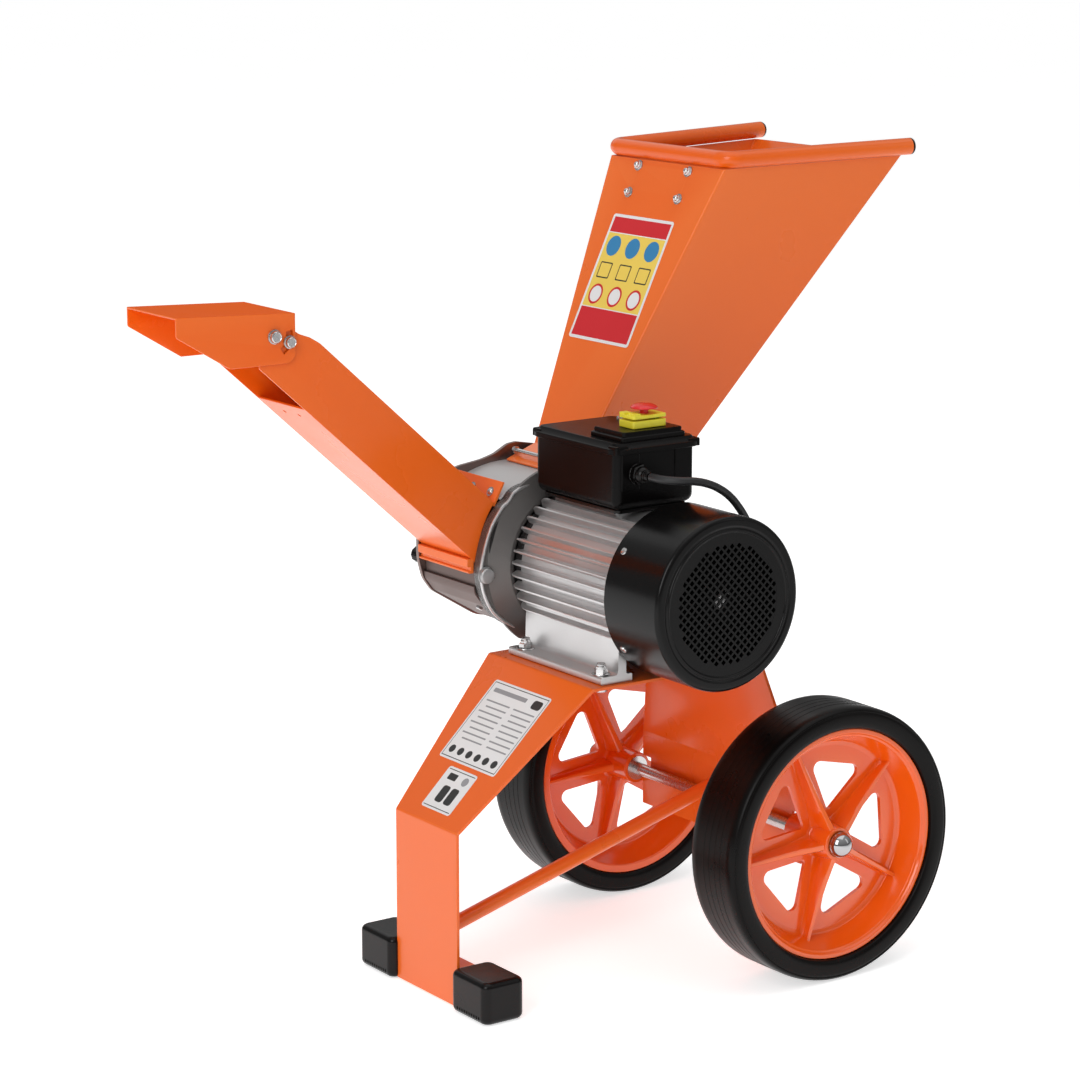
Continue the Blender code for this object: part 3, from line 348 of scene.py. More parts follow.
def piece(name, shape, looks, body="frame", stands_for=(), cutters=(), plus=None, edge=0.0,
          sharp=32):
    """One visual piece: placed in the frame, cut, edged, painted and riding on its body. plus isn't cut."""
    bmesh.ops.recalc_face_normals(shape.bm, faces=shape.bm.faces)
    mesh = bpy.data.meshes.new(name)
    shape.bm.to_mesh(mesh)
    shape.bm.free()
    mesh.transform(Matrix.Translation(ORIGIN))
    obj = bpy.data.objects.new(name, mesh)
    bpy.context.scene.collection.objects.link(obj)
    for one in looks if isinstance(looks, (list, tuple)) else [looks]:
        mesh.materials.append(one)
    for cutter in cutters:
        carve(obj, cutter)
    if plus:
        bmesh.ops.recalc_face_normals(plus.bm, faces=plus.bm.faces)
        bmesh.ops.translate(plus.bm, verts=plus.bm.verts, vec=ORIGIN)
        plus.bm.from_mesh(obj.data)
        plus.bm.to_mesh(obj.data)
        plus.bm.free()
    obj.data.shade_smooth()
    if not edge:
        obj.data.set_sharp_from_angle(angle=math.radians(sharp))
    soften(obj, edge)
    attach(obj, body)
    if stands_for:
        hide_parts(*([stands_for] if isinstance(stands_for, str) else stands_for))
    return obj


def repaint(name, made, edge):
    """A better material, and rounded edges, on a CAD node whose shape is right."""
    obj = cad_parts[name]
    obj.data.materials.clear()
    obj.data.materials.append(made)
    if edge:
        weld = obj.modifiers.new("weld", "WELD")
        weld.merge_threshold = 0.00001
        soften(obj, edge, 28)


# Camera, lights and floor ------------------------------------------------------------------------------

AZIMUTH, ELEVATION, DISTANCE = math.radians(-35.161), math.radians(12.064), 2.94943
back = Vector((math.sin(AZIMUTH) * math.cos(ELEVATION), -math.cos(AZIMUTH) * math.cos(ELEVATION),
               math.sin(ELEVATION)))
target = ORIGIN + Vector((-0.0922, 0, 0.40821))
camera = bpy.data.objects.new("camera", bpy.data.cameras.new("camera"))
camera.data.lens, camera.data.sensor_width = 107.979, 36
camera.location = target + back * DISTANCE
camera.rotation_euler = (-back).to_track_quat("-Z", "Y").to_euler()
camera.data.clip_end = 200
bpy.context.scene.collection.objects.link(camera)
bpy.context.scene.camera = camera
bpy.context.scene.view_settings.view_transform = "Standard"


def softbox(name, place, aim, size, power):
    light = bpy.data.lights.new(name, "AREA")
    light.shape, light.size, light.size_y = "RECTANGLE", size[0], size[1]
    light.energy = power
    obj = bpy.data.objects.new(name, light)
    bpy.context.scene.collection.objects.link(obj)
    obj.location = place
    obj.rotation_euler = (Vector(aim) - Vector(place)).to_track_quat("-Z", "Y").to_euler()


softbox("top_light", (0.3, -0.3, 3.4), (0, 0, 0.3), (3.4, 3.4), 28)
softbox("left_light", (-3.0, -1.6, 2.2), (0, 0, 0.4), (1.6, 2.4), 50)
softbox("right_light", (2.4, -2.6, 1.9), (0, 0, 0.4), (0.9, 2.2), 4)
softbox("rear_light", (0.6, 3.2, 2.4), (0, 0, 0.4), (3.0, 1.8), 9)

world = bpy.data.worlds.new("studio")
world.use_nodes = True
bpy.context.scene.world = world
sky = world.node_tree
ray = node(sky, "TexCoord", {})["Generated"]
height = node(sky, "SeparateXYZ", {"Vector": ray})["Z"]
strength = node(sky, "MapRange", {"Value": height, "From Min": -0.1, "From Max": 0.9, "To Min": 0.16,
                                  "To Max": 0.50})["Result"]
wire(sky, sky.nodes["Background"], {"Color": (1, 1, 1, 1), "Strength": strength})

floor_mesh = bpy.data.meshes.new("floor")
floor_mesh.from_pydata([(x, y, -0.0006) for x, y in ((-60, -60), (60, -60), (60, 60), (-60, 60))], [],
                       [(0, 1, 2, 3)])
floor = bpy.data.objects.new("floor", floor_mesh)
bpy.context.scene.collection.objects.link(floor)
backdrop = look("pale_floor", (0.93, 0.93, 0.93), 0.6, specular=0.2, mottle=(3, 0.005),
                grain=(200, 0.01, 0.0002))
floor_mesh.materials.append(backdrop)
tree = backdrop.node_tree
right = Vector((-back.y, back.x, 0)).normalized()
ahead = Vector((-back.x, -back.y, 0)).normalized()
side_of_view = right - ahead * 0.19
edge_of_view = camera.location.dot(side_of_view)
# Painted light: the floor glows, strongest across the camera's view and fading beyond it, which washes out
# the shadows cast on it.
place = node(tree, "TexCoord", {})["Object"]
offset = node(tree, "VectorMath", {0: place, 1: side_of_view}, operation="DOT_PRODUCT")["Value"]
painted_floor_glow = node(tree, "MapRange", {"Value": offset, "From Min": edge_of_view + 0.10,
                               "From Max": edge_of_view + 1.30, "To Min": 0.62, "To Max": 0.10})["Result"]
wire(tree, tree.nodes["Principled BSDF"], {"Emission Color": (1, 1, 1, 1), "Emission Strength": painted_floor_glow})

# Power cord --------------------------------------------------------------------------------------------

CORD_DIAMETER = 0.0075
CORD_CORNERS = [
    (-0.0228, -0.0746, 0.4705), (-0.0228, -0.0810, 0.4705), (-0.0186, -0.0930, 0.4702),
    (-0.0078, -0.1030, 0.4695), (0.0072, -0.1070, 0.4680), (0.0240, -0.1075, 0.4622),
    (0.0400, -0.1075, 0.4525), (0.0545, -0.1070, 0.4375), (0.0685, -0.1050, 0.4170),
    (0.0800, -0.1000, 0.3920), (0.0890, -0.0890, 0.3640), (0.0965, -0.0720, 0.3380),
    (0.1080, -0.0530, 0.3130), (0.1230, -0.0380, 0.2860), (0.1370, -0.0290, 0.2540),
    (0.1450, -0.0250, 0.2220), (0.1480, -0.0240, 0.1950)]


def even_route(corners, spacing):
    """Evenly spaced points of a smooth curve through the corners."""
    fine = smooth(corners, 40)
    length = sum((q - p).length for p, q in zip(fine, fine[1:]))
    count = round(length / spacing)
    route, walked = [fine[0]], 0.0
    for p, q in zip(fine, fine[1:]):
        step = (q - p).length
        while len(route) < count and walked + step >= length * len(route) / count:
            route.append(p.lerp(q, (length * len(route) / count - walked) / step))
        walked += step
    return route + [fine[-1]], length


route, cord_length = even_route(CORD_CORNERS, 0.015)
curve = bpy.data.curves.new("power_cord_jacket", "CURVE")
curve.dimensions, curve.bevel_depth, curve.bevel_resolution = "3D", CORD_DIAMETER / 2, 5
curve.use_fill_caps = True
curve.resolution_u = 4
line = curve.splines.new("BEZIER")
line.bezier_points.add(len(route) - 1)
for point, spot in zip(line.bezier_points, route):
    point.co = spot + ORIGIN
    point.handle_left_type = point.handle_right_type = "AUTO"
cord = bpy.data.objects.new("power_cord_jacket", curve)
bpy.context.scene.collection.objects.link(cord)
curve.materials.append(CORD_JACKET)
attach(cord, "frame")
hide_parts("power_cord")

px, py, pz = CORD_CORNERS[-1]
top = pz - 0.0009
plug = Shape()
plug.lathe((px, py, 0), (0, 0, 1), [(0, top - 0.0560), *[tuple(p) for p in fillet(
    [(0, top - 0.0560), (0.0176, top - 0.0560, 0.0015), (0.0185, top - 0.0535, 0.001),
     (0.0185, top - 0.0360, 0.002), (0.0112, top - 0.0235, 0.003), (0.0070, top - 0.0180, 0.002),
     (0.0050, top), (0, top)], closed=False)][1:-1], (0, top)], 48)
for k in range(5):
    ring = top - 0.0150 + 0.0028 * k
    size = 0.0067 - 0.0003 * k
    plug.lathe((px, py, 0), (0, 0, 1), [(size - 0.0012, ring - 0.0008), (size, ring - 0.0006),
                                        (size, ring + 0.0006), (size - 0.0012, ring + 0.0008)], 32)
for k in range(12):
    turn = 2 * math.pi * k / 12
    plug.tube([(px + 0.0183 * math.cos(turn), py + 0.0183 * math.sin(turn), top - z)
               for z in (0.0520, 0.0380)], 0.0008, 8)
plug_body = piece("power_plug_body", plug, BLACK, stands_for="power_plug")
pins = Shape()
for side in (-0.0085, 0.0085):
    pins.lathe((px, py + side, top), (0, 0, 1), [(0, -0.0740), (0.0014, -0.0740), (0.0024, -0.0728),
                                                 (0.0024, -0.0550), (0, -0.0550)], 24)
plug_pins = piece("power_plug_pins", pins, ZINC)

# Wheels ------------------------------------------------------------------------------------------------


def make_wheel(side, sign):
    body, centre, axis = f"wheel_{side}", (AXLE.x, 0, AXLE.z), (0, sign, 0)
    first = math.radians(-103)
    rim = Shape()
    rim.lathe(centre, axis, fillet([
        (0.0063, 0.1240, 0.0004), (0.0155, 0.1240, 0.001), (0.0165, 0.1570, 0.004), (0.0885, 0.1570, 0.004),
        (0.1012, 0.1307, 0.002), (0.1088, 0.1307, 0.0006), (0.1088, 0.1334), (0.1050, 0.1334),
        (0.1050, 0.1832), (0.1088, 0.1832), (0.1088, 0.1860, 0.0009), (0.1046, 0.1860, 0.0012),
        (0.1030, 0.1838, 0.0012), (0.1013, 0.1830, 0.0016), (0.0925, 0.1620, 0.003), (0.0880, 0.1610, 0.003),
        (0.0180, 0.1610, 0.004), (0.0155, 0.1845, 0.001), (0.0122, 0.1845, 0.0005), (0.0118, 0.1832, 0.0004),
        (0.0063, 0.1832)], steps=4), 120)
    ribs = Shape()
    for i in range(5):
        way, wide = spoke(first + math.radians(72 * i))
        for face, outward, tall in ((0.1600, 1, 1.0), (0.1580, -1, 0.72)):
            rings = []
            for r, low, high, height in ((0.0110, 0.0096, 0.0036, 0.0232), (0.0170, 0.0090, 0.0035, 0.0222),
                                         (0.0260, 0.0072, 0.0032, 0.0202), (0.0400, 0.0052, 0.0028, 0.0172),
                                         (0.0550, 0.0046, 0.0025, 0.0146), (0.0720, 0.0048, 0.0022, 0.0122),
                                         (0.0860, 0.0058, 0.0020, 0.0106), (0.0945, 0.0072, 0.0019, 0.0100),
                                         (0.0990, 0.0080, 0.0018, 0.0096)):
                ring = []
                for w, h in ((low, 0), (low * 0.96, 0.06), (high + (low - high) * 0.42, 0.17),
                             (high * 1.18, 0.42), (high, 0.93), (high * 0.62, 1.0)):
                    ring.append((w, h))
                ring += [(-w, h) for w, h in ring[::-1]]
                rings.append([AXLE + way * r + wide * w
                              + Vector((0, sign * (face + outward * h * height * tall), 0)) for w, h in ring])
            ribs.loft(rings)
    windows = Shape()
    for i in range(5):
        middle = first + math.radians(72 * (i + 0.5))
        corners = [(0.0255, 0.0, 0.0032), (0.0790, 0.44, 0.0070), (0.0790, -0.44, 0.0070)]
        outline = fillet([(AXLE.x + r * math.cos(middle + t), AXLE.z + r * math.sin(middle + t), size)
                          for r, t, size in corners], steps=6)
        windows.prism(outline, "y", *sorted((sign * 0.1470, sign * 0.1720)))
    piece(f"rim_{side}", rim, RIM_ORANGE, body, f"wheel_rim_{side}", [windows], ribs,
          sharp=38)

    middle = 0.1591
    half = [(0.1293, 0.0), (0.1293, 0.0190), (0.1295, 0.0205), (0.1294, 0.0236), (0.1290, 0.0266),
            (0.1282, 0.0290),
            (0.1270, 0.0306), (0.1260, 0.0311), (0.1254, 0.0305), (0.1248, 0.0305),
            (0.1242, 0.0312), (0.1225, 0.0316), (0.1190, 0.0318), (0.1150, 0.0317), (0.1120, 0.0311),
            (0.1102, 0.0300), (0.1092, 0.0284), (0.1091, 0.0238), (0.1054, 0.0237)]
    profile = [(r, middle + d) for r, d in half] + [(r, middle - d) for r, d in half[:0:-1]]
    tyre = Shape().lathe(centre, axis, profile, 120)
    for line in (-0.0115, -0.0040, 0.0040, 0.0115):
        tyre.lathe(centre, axis, [(0.1290, middle + line - 0.0013), (0.1295, middle + line - 0.0009),
                                  (0.1295, middle + line + 0.0009), (0.1290, middle + line + 0.0013)], 120)
    piece(f"tyre_{side}_rubber", tyre, TYRE, body, f"tyre_{side}", sharp=50)

    cap = Shape().lathe(centre, axis, [(0, 0.1850), (0.0118, 0.1850), (0.0120, 0.1856), (0.0120, 0.1864),
                                       *[(0.0119 * math.cos(t), 0.1866 + 0.0108 * math.sin(t))
                                         for t in quarter_turn(11)[:-1]], (0, 0.1974)], 48)
    piece(f"hub_dome_{side}", cap, CHROME, body, f"hub_cap_{side}", sharp=40)
    collar = Shape()
    collar.lathe(centre, axis, [(0.0061, 0.1234), (0.0120, 0.1234), (0.0120, 0.1239), (0.0061, 0.1239)], 40)
    piece(f"axle_washer_{side}", collar, ZINC, "frame")


make_wheel("a", -1)
make_wheel("b", 1)

# Motor -------------------------------------------------------------------------------------------------

FOOT_BOLTS = [(x, y) for x in (-0.072, 0.072) for y in (-0.067, 0.052)]

housing = Shape()
housing.lathe(HUB, FORWARD, fillet([(0.0601, -0.0785), (0.0664, -0.0785, 0.001), (0.0664, 0.0690, 0.003),
                                    (0.0601, 0.0697)]), 120)
for i in range(40):
    middle = 9 * (i + 0.5)
    if 64 < middle < 116 or 224 < middle < 316:
        continue
    way, wide = spoke(math.radians(middle))
    rings = []
    for y, crest, slim in ((-0.0785, 0.0752, 1.0), (-0.0778, 0.0755, 1.0), (0.0640, 0.0755, 1.0),
                           (0.0700, 0.0748, 0.95), (0.0740, 0.0728, 0.85), (0.0764, 0.0702, 0.7),
                           (0.0770, 0.0690, 0.5)):
        half = [(0.0650, 0.0029), (0.0668, 0.0024), (0.0676, 0.0015), (0.0692, 0.0011),
                (crest - 0.0005, 0.00085), (crest, 0.0004)]
        side = [(r if r < crest else crest - 0.0006, w * slim) for r, w in half]
        loop = side + [(r, -w) for r, w in side[::-1]]
        rings.append([Vector((0, y, AXIS_Z)) + way * r + wide * w for r, w in loop])
    housing.loft(rings)
for sign in (-1, 1):
    profile = fillet([(0.0452, 0.2861, 0.0008), (0.0802, 0.2861, 0.0012), (0.0802, 0.2930, 0.0018),
                      (0.0612, 0.2930, 0.003), (0.0598, 0.3450, 0.003), (0.0520, 0.3450, 0.002),
                      (0.0520, 0.2930, 0.002), (0.0452, 0.2930, 0.001)])
    housing.prism([(sign * x, z) for x, z in profile], "y", -0.0785, 0.0680)
housing.prism(rounded_rect((-0.0330, 0.0330), (-0.0380, 0.0620), 0.004), "z", 0.4180, 0.4350)
piece("motor_body", housing, CAST, stands_for="motor_housing", sharp=35)

# A black rubber gasket under the terminal box. Such boxes have one, but this one is made wide and dark to
# cover the bright pad as painted shade beneath the box.
gasket = Shape().prism(rounded_rect((-0.0400, 0.0400), (-0.0480, 0.0700), 0.006), "z", 0.4335, 0.4369)
piece("box_shade_gasket", gasket, RUBBER, edge=0.0006)

bell = Shape()
bell.lathe(HUB, FORWARD, fillet([
    (0.0135, 0.0703), (0.0655, 0.0703, 0.001), (0.0650, 0.0790, 0.003), (0.0560, 0.0877, 0.002),
    (0.0207, 0.0877), (0.0207, 0.0766), (0.0135, 0.0766)]), 96)
for i in range(12):
    way, wide = spoke(math.radians(30 * i + 15))
    rings = []
    for y, reach in ((0.0706, 0.0668), (0.0780, 0.0662), (0.0872, 0.0585)):
        rings.append([Vector((0, y, AXIS_Z)) + way * r + wide * w for r, w in
                      ((0.0500, 0.0016), (reach, 0.0010), (reach, -0.0010), (0.0500, -0.0016))])
    bell.loft(rings)
piece("end_bell_ribbed", bell, DARK, stands_for="end_bell_cutter", sharp=35)

cowl = Shape()
cowl.lathe(HUB, (0, -1, 0), fillet([
    (0.0779, 0.0816), (0.0801, 0.0816, 0.0008), (0.0801, 0.1603, 0.0150), (0.0715, 0.1604, 0.002),
    (0.0700, 0.1597, 0.001), (0.0688, 0.1597, 0.001), (0.0682, 0.1607, 0.0008), (0.0664, 0.1607, 0.0008),
    (0.0655, 0.1596, 0.001), (0.0560, 0.1595), (0.0560, 0.1575), (0.0690, 0.1575, 0.004),
    (0.0779, 0.1560, 0.0120)], steps=7), 120)
grille = Shape().lathe(HUB, (0, -1, 0), [(0, 0.1576), (0.0565, 0.1576), (0.0565, 0.1594), (0, 0.1594)], 96)
grid = Shape()
pitch, reach = 0.0081, 0.0545
for row in range(-20, 21):
    for column in range(-10, 11):
        x, z = (column + (row % 2) / 2) * pitch, row * pitch / 2
        if math.hypot(x, z) < reach:
            grid.prism([(x + dx, AXIS_Z + z + dz) for dx, dz in
                        ((0.0027, 0), (0, 0.0027), (-0.0027, 0), (0, -0.0027))], "y", -0.1612, -0.1560)
piece("cowl_shell", cowl, GLOSS_BLACK, stands_for="fan_cowl", sharp=35)
piece("cowl_grille", grille, GLOSS_BLACK, cutters=[grid], sharp=35)
screws = Shape()
for turn in (145.7, 34.3, 214.3, 325.7):
    out = spoke(math.radians(turn))[0]
    base = Vector((0, -0.0930, AXIS_Z)) + out * 0.0796
    screws.lathe(base, out, [(0, 0), (0.0036, 0.0), (0.0036, 0.0007), (0.0032, 0.0014), (0.0022, 0.0019),
                             (0.0009, 0.0020), (0.0009, 0.0014), (0, 0.0014)], 28)
piece("cowl_screws", screws, ZINC)

for i, (x, y) in enumerate(FOOT_BOLTS):
    spot, up = (x, y, STAND_TOP), (0, 0, 1)
    bolt = Shape()
    bolt.lathe(spot, up, [(0, -0.0085), (0.0052, -0.0085), (0.0064, -0.0076), (0.0064, -0.0034),
                          (0.0038, -0.0034), (0.0038, 0.0170), (0.0032, 0.0178), (0, 0.0178)], 32)
    bolt.lathe(spot, up, [(0.0040, 0.0075), (0.0084, 0.0075), (0.0086, 0.0080), (0.0084, 0.0086),
                          (0.0040, 0.0086)], 40)
    bolt.hex(spot, up, 0.0112, 0.0087, 0.0136, 0.2 + 0.5 * i)
    bolt.lathe(spot, up, [(0.0039, 0.0134), (0.0050, 0.0134), (0.0049, 0.0150), (0.0043, 0.0158),
                          (0.0039, 0.0158)], 32)
    for k in range(5):
        z = 0.0160 + 0.0004 * k
        bolt.lathe(spot, up, [(0.0036, z - 0.0001), (0.00395, z + 0.0001), (0.0036, z + 0.0003)], 28)
    piece(f"foot_stud_{i + 1}", bolt, ZINC, stands_for=f"foot_bolt_{i + 1}", sharp=30)

# Switch box --------------------------------------------------------------------------------------------

XS, YS = (-0.0450, 0.0450), (-0.0536, 0.0765)


def box_ring(grow, z, radius=0.0085, steps=6, ys=YS):
    return [(p[0], p[1], z) for p in rounded_rect((XS[0] - grow, XS[1] + grow), (ys[0] - grow, ys[1] + grow),
                                                  max(radius + grow, 0.001), steps)]


def swept_rings(levels, **shape):
    return [box_ring(grow, z, **shape) for grow, z in levels]


box = Shape()
soft = [(-0.0085 * (1 - math.sin(t)), 0.4370 + 0.0085 * (1 - math.cos(t))) for t in quarter_turn(6)]
outside = swept_rings(soft + [(0.0, 0.4892)])
inside = swept_rings([(-0.0025, 0.4892), (-0.0025, 0.4460), (-0.0090, 0.4400)], radius=0.0085)
box.loft(outside + inside)
for x in (-0.0300, 0.0300):
    box.prism(rounded_rect((x - 0.0100, x + 0.0100), (-0.0546, -0.0500), 0.001), "z", 0.4560, 0.4892)
piece("terminal_box", box, BLACK, stands_for="switch_box", sharp=35)

lid = Shape()
YL = (-0.0536, 0.0735)
lid.loft(swept_rings([(-0.0028, 0.4955), (-0.0028, 0.4896), (0.0044, 0.4896), (0.0050, 0.4901),
                      (0.0050, 0.4938), (0.0046, 0.4944), (0.0026, 0.4952), (0.0002, 0.4978),
                      (-0.0010, 0.4992), (-0.0024, 0.4995)], ys=YL))
panel = rounded_rect((-0.0360, 0.0360), (-0.0500, 0.0010), 0.0030)
lid.loft([[(p[0] * s, -0.0245 + (p[1] + 0.0245) * s, z) for p in panel] for s, z in
          ((1.0, 0.4985), (1.0, 0.5028), (0.97, 0.5036), (0.93, 0.5040), (0.93, 0.5068), (0.91, 0.5078),
           (0.88, 0.5080))])
for x in (-0.0405, 0.0405):
    for y in (-0.0492, 0.0688):
        lid.loft([[(x + p[0] * s, y + p[1] * s, z) for p in rounded_rect((-0.0075, 0.0075), (-0.0075, 0.0075),
                                                                         0.0025)]
                  for s, z in ((1.0, 0.4898), (1.0, 0.4955), (0.92, 0.4968), (0.62, 0.4972), (0.58, 0.4950),
                               (0.40, 0.4948))])
piece("terminal_lid", lid, BLACK, stands_for="switch_box_lid", sharp=28)
lens = Shape().prism(rounded_rect((0.0345, 0.0405), (0.0470, 0.0555), 0.0015), "z", 0.4990, 0.5022)
piece("lid_lens", lens, clear_plastic(), edge=0.0006)
lid_screws = Shape()
for x in (-0.0405, 0.0405):
    for y in (-0.0492, 0.0688):
        lid_screws.dome((x, y, 0.4948), (0, 0, 1), 0.0030, 0.0, 0.0016)
piece("lid_screws", lid_screws, DARK)

gland = Shape()
nose, ahead = (-0.0228, 0, 0.4705), (0, -1, 0)
gland.lathe(nose, ahead, [(0, 0.0539), (0.0098, 0.0539), (0.0098, 0.0552), (0.0092, 0.0558), (0, 0.0558)], 40)
gland.hex(nose, ahead, 0.0168, 0.0556, 0.0612, 0.25)
bulb = [(0.0078, 0.0608), (0.0079, 0.0625), (0.0074, 0.0645), (0.0064, 0.0660), (0.0056, 0.0668),
        (0.0056, 0.0688), (0.0052, 0.0692), (0.0052, 0.0708), (0.0048, 0.0712), (0.0047, 0.0726),
        (0.0042, 0.0738)]
gland.lathe(nose, ahead, [(0, 0.0606), *bulb, (0, 0.0738)], 40)
piece("cord_gland", gland, RUBBER, stands_for="cable_gland", sharp=28)

# Switch ------------------------------------------------------------------------------------------------

SX, SY = (-0.0165, 0.0215), (-0.0400, -0.0165)
MUSHROOM = (0.0040, -0.02825)
base = Shape()
base.prism(rounded_rect(SX, SY, 0.0025), "z", 0.5083, 0.5150)
pocket = Shape().block((0.0117, 0.0183), (-0.0330, -0.0235), (0.5089, 0.5300))
piece("switch_bezel", base, YELLOW, stands_for="switch_base", cutters=[pocket],
      edge=0.0005)
start = Shape().prism(rounded_rect((0.0121, 0.0179), (-0.0326, -0.0239), 0.0008), "z", 0.5106, 0.5159)
piece("start_key", start, GREEN, "start_button", "start_button", edge=0.0004)
flap = Shape().prism(rounded_rect(SX, SY, 0.0025), "z", 0.5168, 0.5200)
block = Shape().prism(fillet([(-0.0160, -0.0395), (-0.0075, -0.0395), (-0.0075, -0.0170), (-0.0160, -0.0170),
                              (-0.0160, -0.0250), (-0.0118, -0.0250), (-0.0118, -0.0315), (-0.0160, -0.0315)],
                             0.0007), "z", 0.5195, 0.5217)
hollow = Shape()
hollow.block((-0.0060, 0.0200), (-0.0385, -0.0180), (0.5100, 0.5185))
hollow.rod((*MUSHROOM, 0.52), (0, 0, 1), 0.0047, -0.02, 0.02, 32)
piece("switch_lid", flap, YELLOW, "switch_flap", "switch_flap", [hollow], block,
      edge=0.0004)
mushroom = Shape().lathe((*MUSHROOM, 0), (0, 0, 1), [
    (0, 0.5175), (0.0057, 0.5175), (0.0057, 0.5189), (0.0042, 0.5191), (0.0042, 0.5242), (0.0060, 0.5244),
    (0.0115, 0.5246), (0.0124, 0.5249), (0.0126, 0.5254), (0.0123, 0.5262), (0.0108, 0.5272),
    (0.0094, 0.5279), (0.0086, 0.5283), (0.0060, 0.5287), (0, 0.5289)], 56)
piece("stop_mushroom", mushroom, RED, "stop_button", "stop_button", sharp=40)

# Stand -------------------------------------------------------------------------------------------------


def folded(stations, thickness, bend):
    """A bent sheet through (x, z, half width) stations. Its thickness lies to the right of the way."""
    corners = [(s[0], s[1], bend) for s in stations]
    path = fillet(corners, steps=6, closed=False)
    rings = []
    for i, point in enumerate(path):
        before = (path[i] - path[max(i - 1, 0)]) if i else path[1] - path[0]
        after = (path[min(i + 1, len(path) - 1)] - path[i]) if i < len(path) - 1 else before
        normal = (before.normalized() + after.normalized()).normalized()
        inner = point + Vector((normal.y, -normal.x)) * thickness
        half, nearest = 0, 9
        for a, b in zip(stations, stations[1:]):
            run = Vector(b[:2]) - Vector(a[:2])
            t = min(1, max(0, (point - Vector(a[:2])).dot(run) / run.length_squared))
            gap = (Vector(a[:2]) + run * t - point).length
            if gap < nearest:
                half, nearest = a[2] + (b[2] - a[2]) * t, gap
        rings.append([(point.x, -half, point.y), (point.x, half, point.y), (inner.x, half, inner.y),
                      (inner.x, -half, inner.y)])
    return Shape().loft(rings)


LEG = [(-0.2187, 0.0010, 0.0500), (-0.2187, 0.1638, 0.0500), (-0.0924, STAND_TOP, 0.0832),
       (0.0999, STAND_TOP, 0.0854), (0.1227, 0.1680, 0.1230), (0.1227, 0.0930, 0.1230)]
stand = folded(LEG, 0.0030, 0.0042)
gaps = Shape()
for x, y in FOOT_BOLTS:
    gaps.rod((x, y, STAND_TOP), (0, 0, 1), 0.0045, -0.02, 0.02, 24)
for y0, y1 in ((-0.1300, -0.1100), (0.1100, 0.1300)):
    gaps.block((0.1100, 0.1300), (y0, y1), (0.1200, 0.1420))
piece("stand_sheet", stand, ORANGE, stands_for="stand_frame", cutters=[gaps],
      edge=0.0007)
bar = Shape().prism([(p[0], p[1]) for p in rounded_rect((-0.2154, -0.1900), (0.0045, 0.0335), 0.0030)][::1],
                    "y", -0.0985, 0.0985)
piece("foot_bar", bar, ORANGE, stands_for="foot_crossbar", sharp=35)
stay = Shape()
low, high = Vector((-0.2148, 0, 0.0529)), Vector((0.1188, 0, 0.1452))
stay.tube([low, high], 0.0070, 32)
way = (high - low).normalized()
for end, sign in ((low, 1), (high, -1)):
    stay.lathe(end, way * sign, [(0.0060, 0.0008), (0.0086, 0.0008), (0.0090, 0.0016), (0.0078, 0.0030),
                                 (0.0060, 0.0036)], 32)
piece("stay_tube", stay, ORANGE, stands_for="brace_tube", sharp=40)

for side, sign in (("a", -1), ("b", 1)):
    inner, outer = sorted((sign * 0.0487, sign * 0.1055))
    foot, bend = Shape(), 0.0055
    low = [(bend * (1 - math.sin(t)), bend * (1 - math.cos(t))) for t in quarter_turn(6)]
    levels = low + [(g, 0.0394 - h) for g, h in low[::-1]]
    foot.loft([[(p[0], p[1], z) for p in rounded_rect((-0.2260 + g, -0.1820 - g), (inner + g, outer - g),
                                                      0.0078 - g * 0.7, 6)] for g, z in levels])
    cuts = Shape().block((-0.2157, -0.1897), sorted((sign * 0.0400, sign * 0.0990)), (0.0042, 0.0338))
    for k in range(10):
        y = inner + 0.0095 + 0.0038 * k
        cuts.block((-0.2270, -0.2245), (y, y + 0.0018), (0.0040, 0.0072))
    piece(f"foot_shoe_{side}", foot, RUBBER, stands_for=f"foot_cap_{side}",
          cutters=[cuts], sharp=30)

# Cutting chamber ---------------------------------------------------------------------------------------


def banded(path, thickness, y0, y1):
    """A strip bent along an (x, z) path. Its thickness lies to the right of the way."""
    points = [Vector(p) for p in path]
    inner = []
    for i, point in enumerate(points):
        way = (points[min(i + 1, len(points) - 1)] - points[max(i - 1, 0)]).normalized()
        inner.append(point + Vector((way.y, -way.x)) * thickness)
    rings = [[(a.x, y0, a.y), (a.x, y1, a.y), (b.x, y1, b.y), (b.x, y0, b.y)] for a, b in zip(points, inner)]
    return Shape().loft(rings)


half = [(-0.0148, 0.4382), (-0.0350, 0.4410), (-0.0494, 0.4397), (-0.0608, 0.4353), (-0.0676, 0.4275),
        (-0.0748, 0.4221), (-0.0870, 0.4057), (-0.0960, 0.3810), (-0.0990, 0.3583), (-0.0935, 0.3355),
        (-0.0783, 0.3150), (-0.0405, 0.2930)]
outline = smooth([Vector(p) for p in half[::-1] + [(-x, z) for x, z in half]], 6)
flange = Shape().prism(outline, "y", 0.0884, 0.0975)
lip = Shape()
lip.paint = 1
ring = []
for i, point in enumerate(outline):
    way = (outline[(i + 1) % len(outline)] - outline[i - 1]).normalized()
    inward = Vector((way.y, -way.x))
    inner, deep = point + inward * 0.0026, point + inward * 0.0044
    ring.append([(point.x, 0.0974, point.y), (point.x, 0.0868, point.y),
                 ((point.x * 3 + inner.x) / 4, 0.0863, (point.y * 3 + inner.y) / 4),
                 ((point.x + inner.x * 3) / 4, 0.0863, (point.y + inner.y * 3) / 4),
                 (inner.x, 0.0868, inner.y), (deep.x, 0.0886, deep.y), (deep.x, 0.0974, deep.y)])
lip.loft(ring, closed=True)
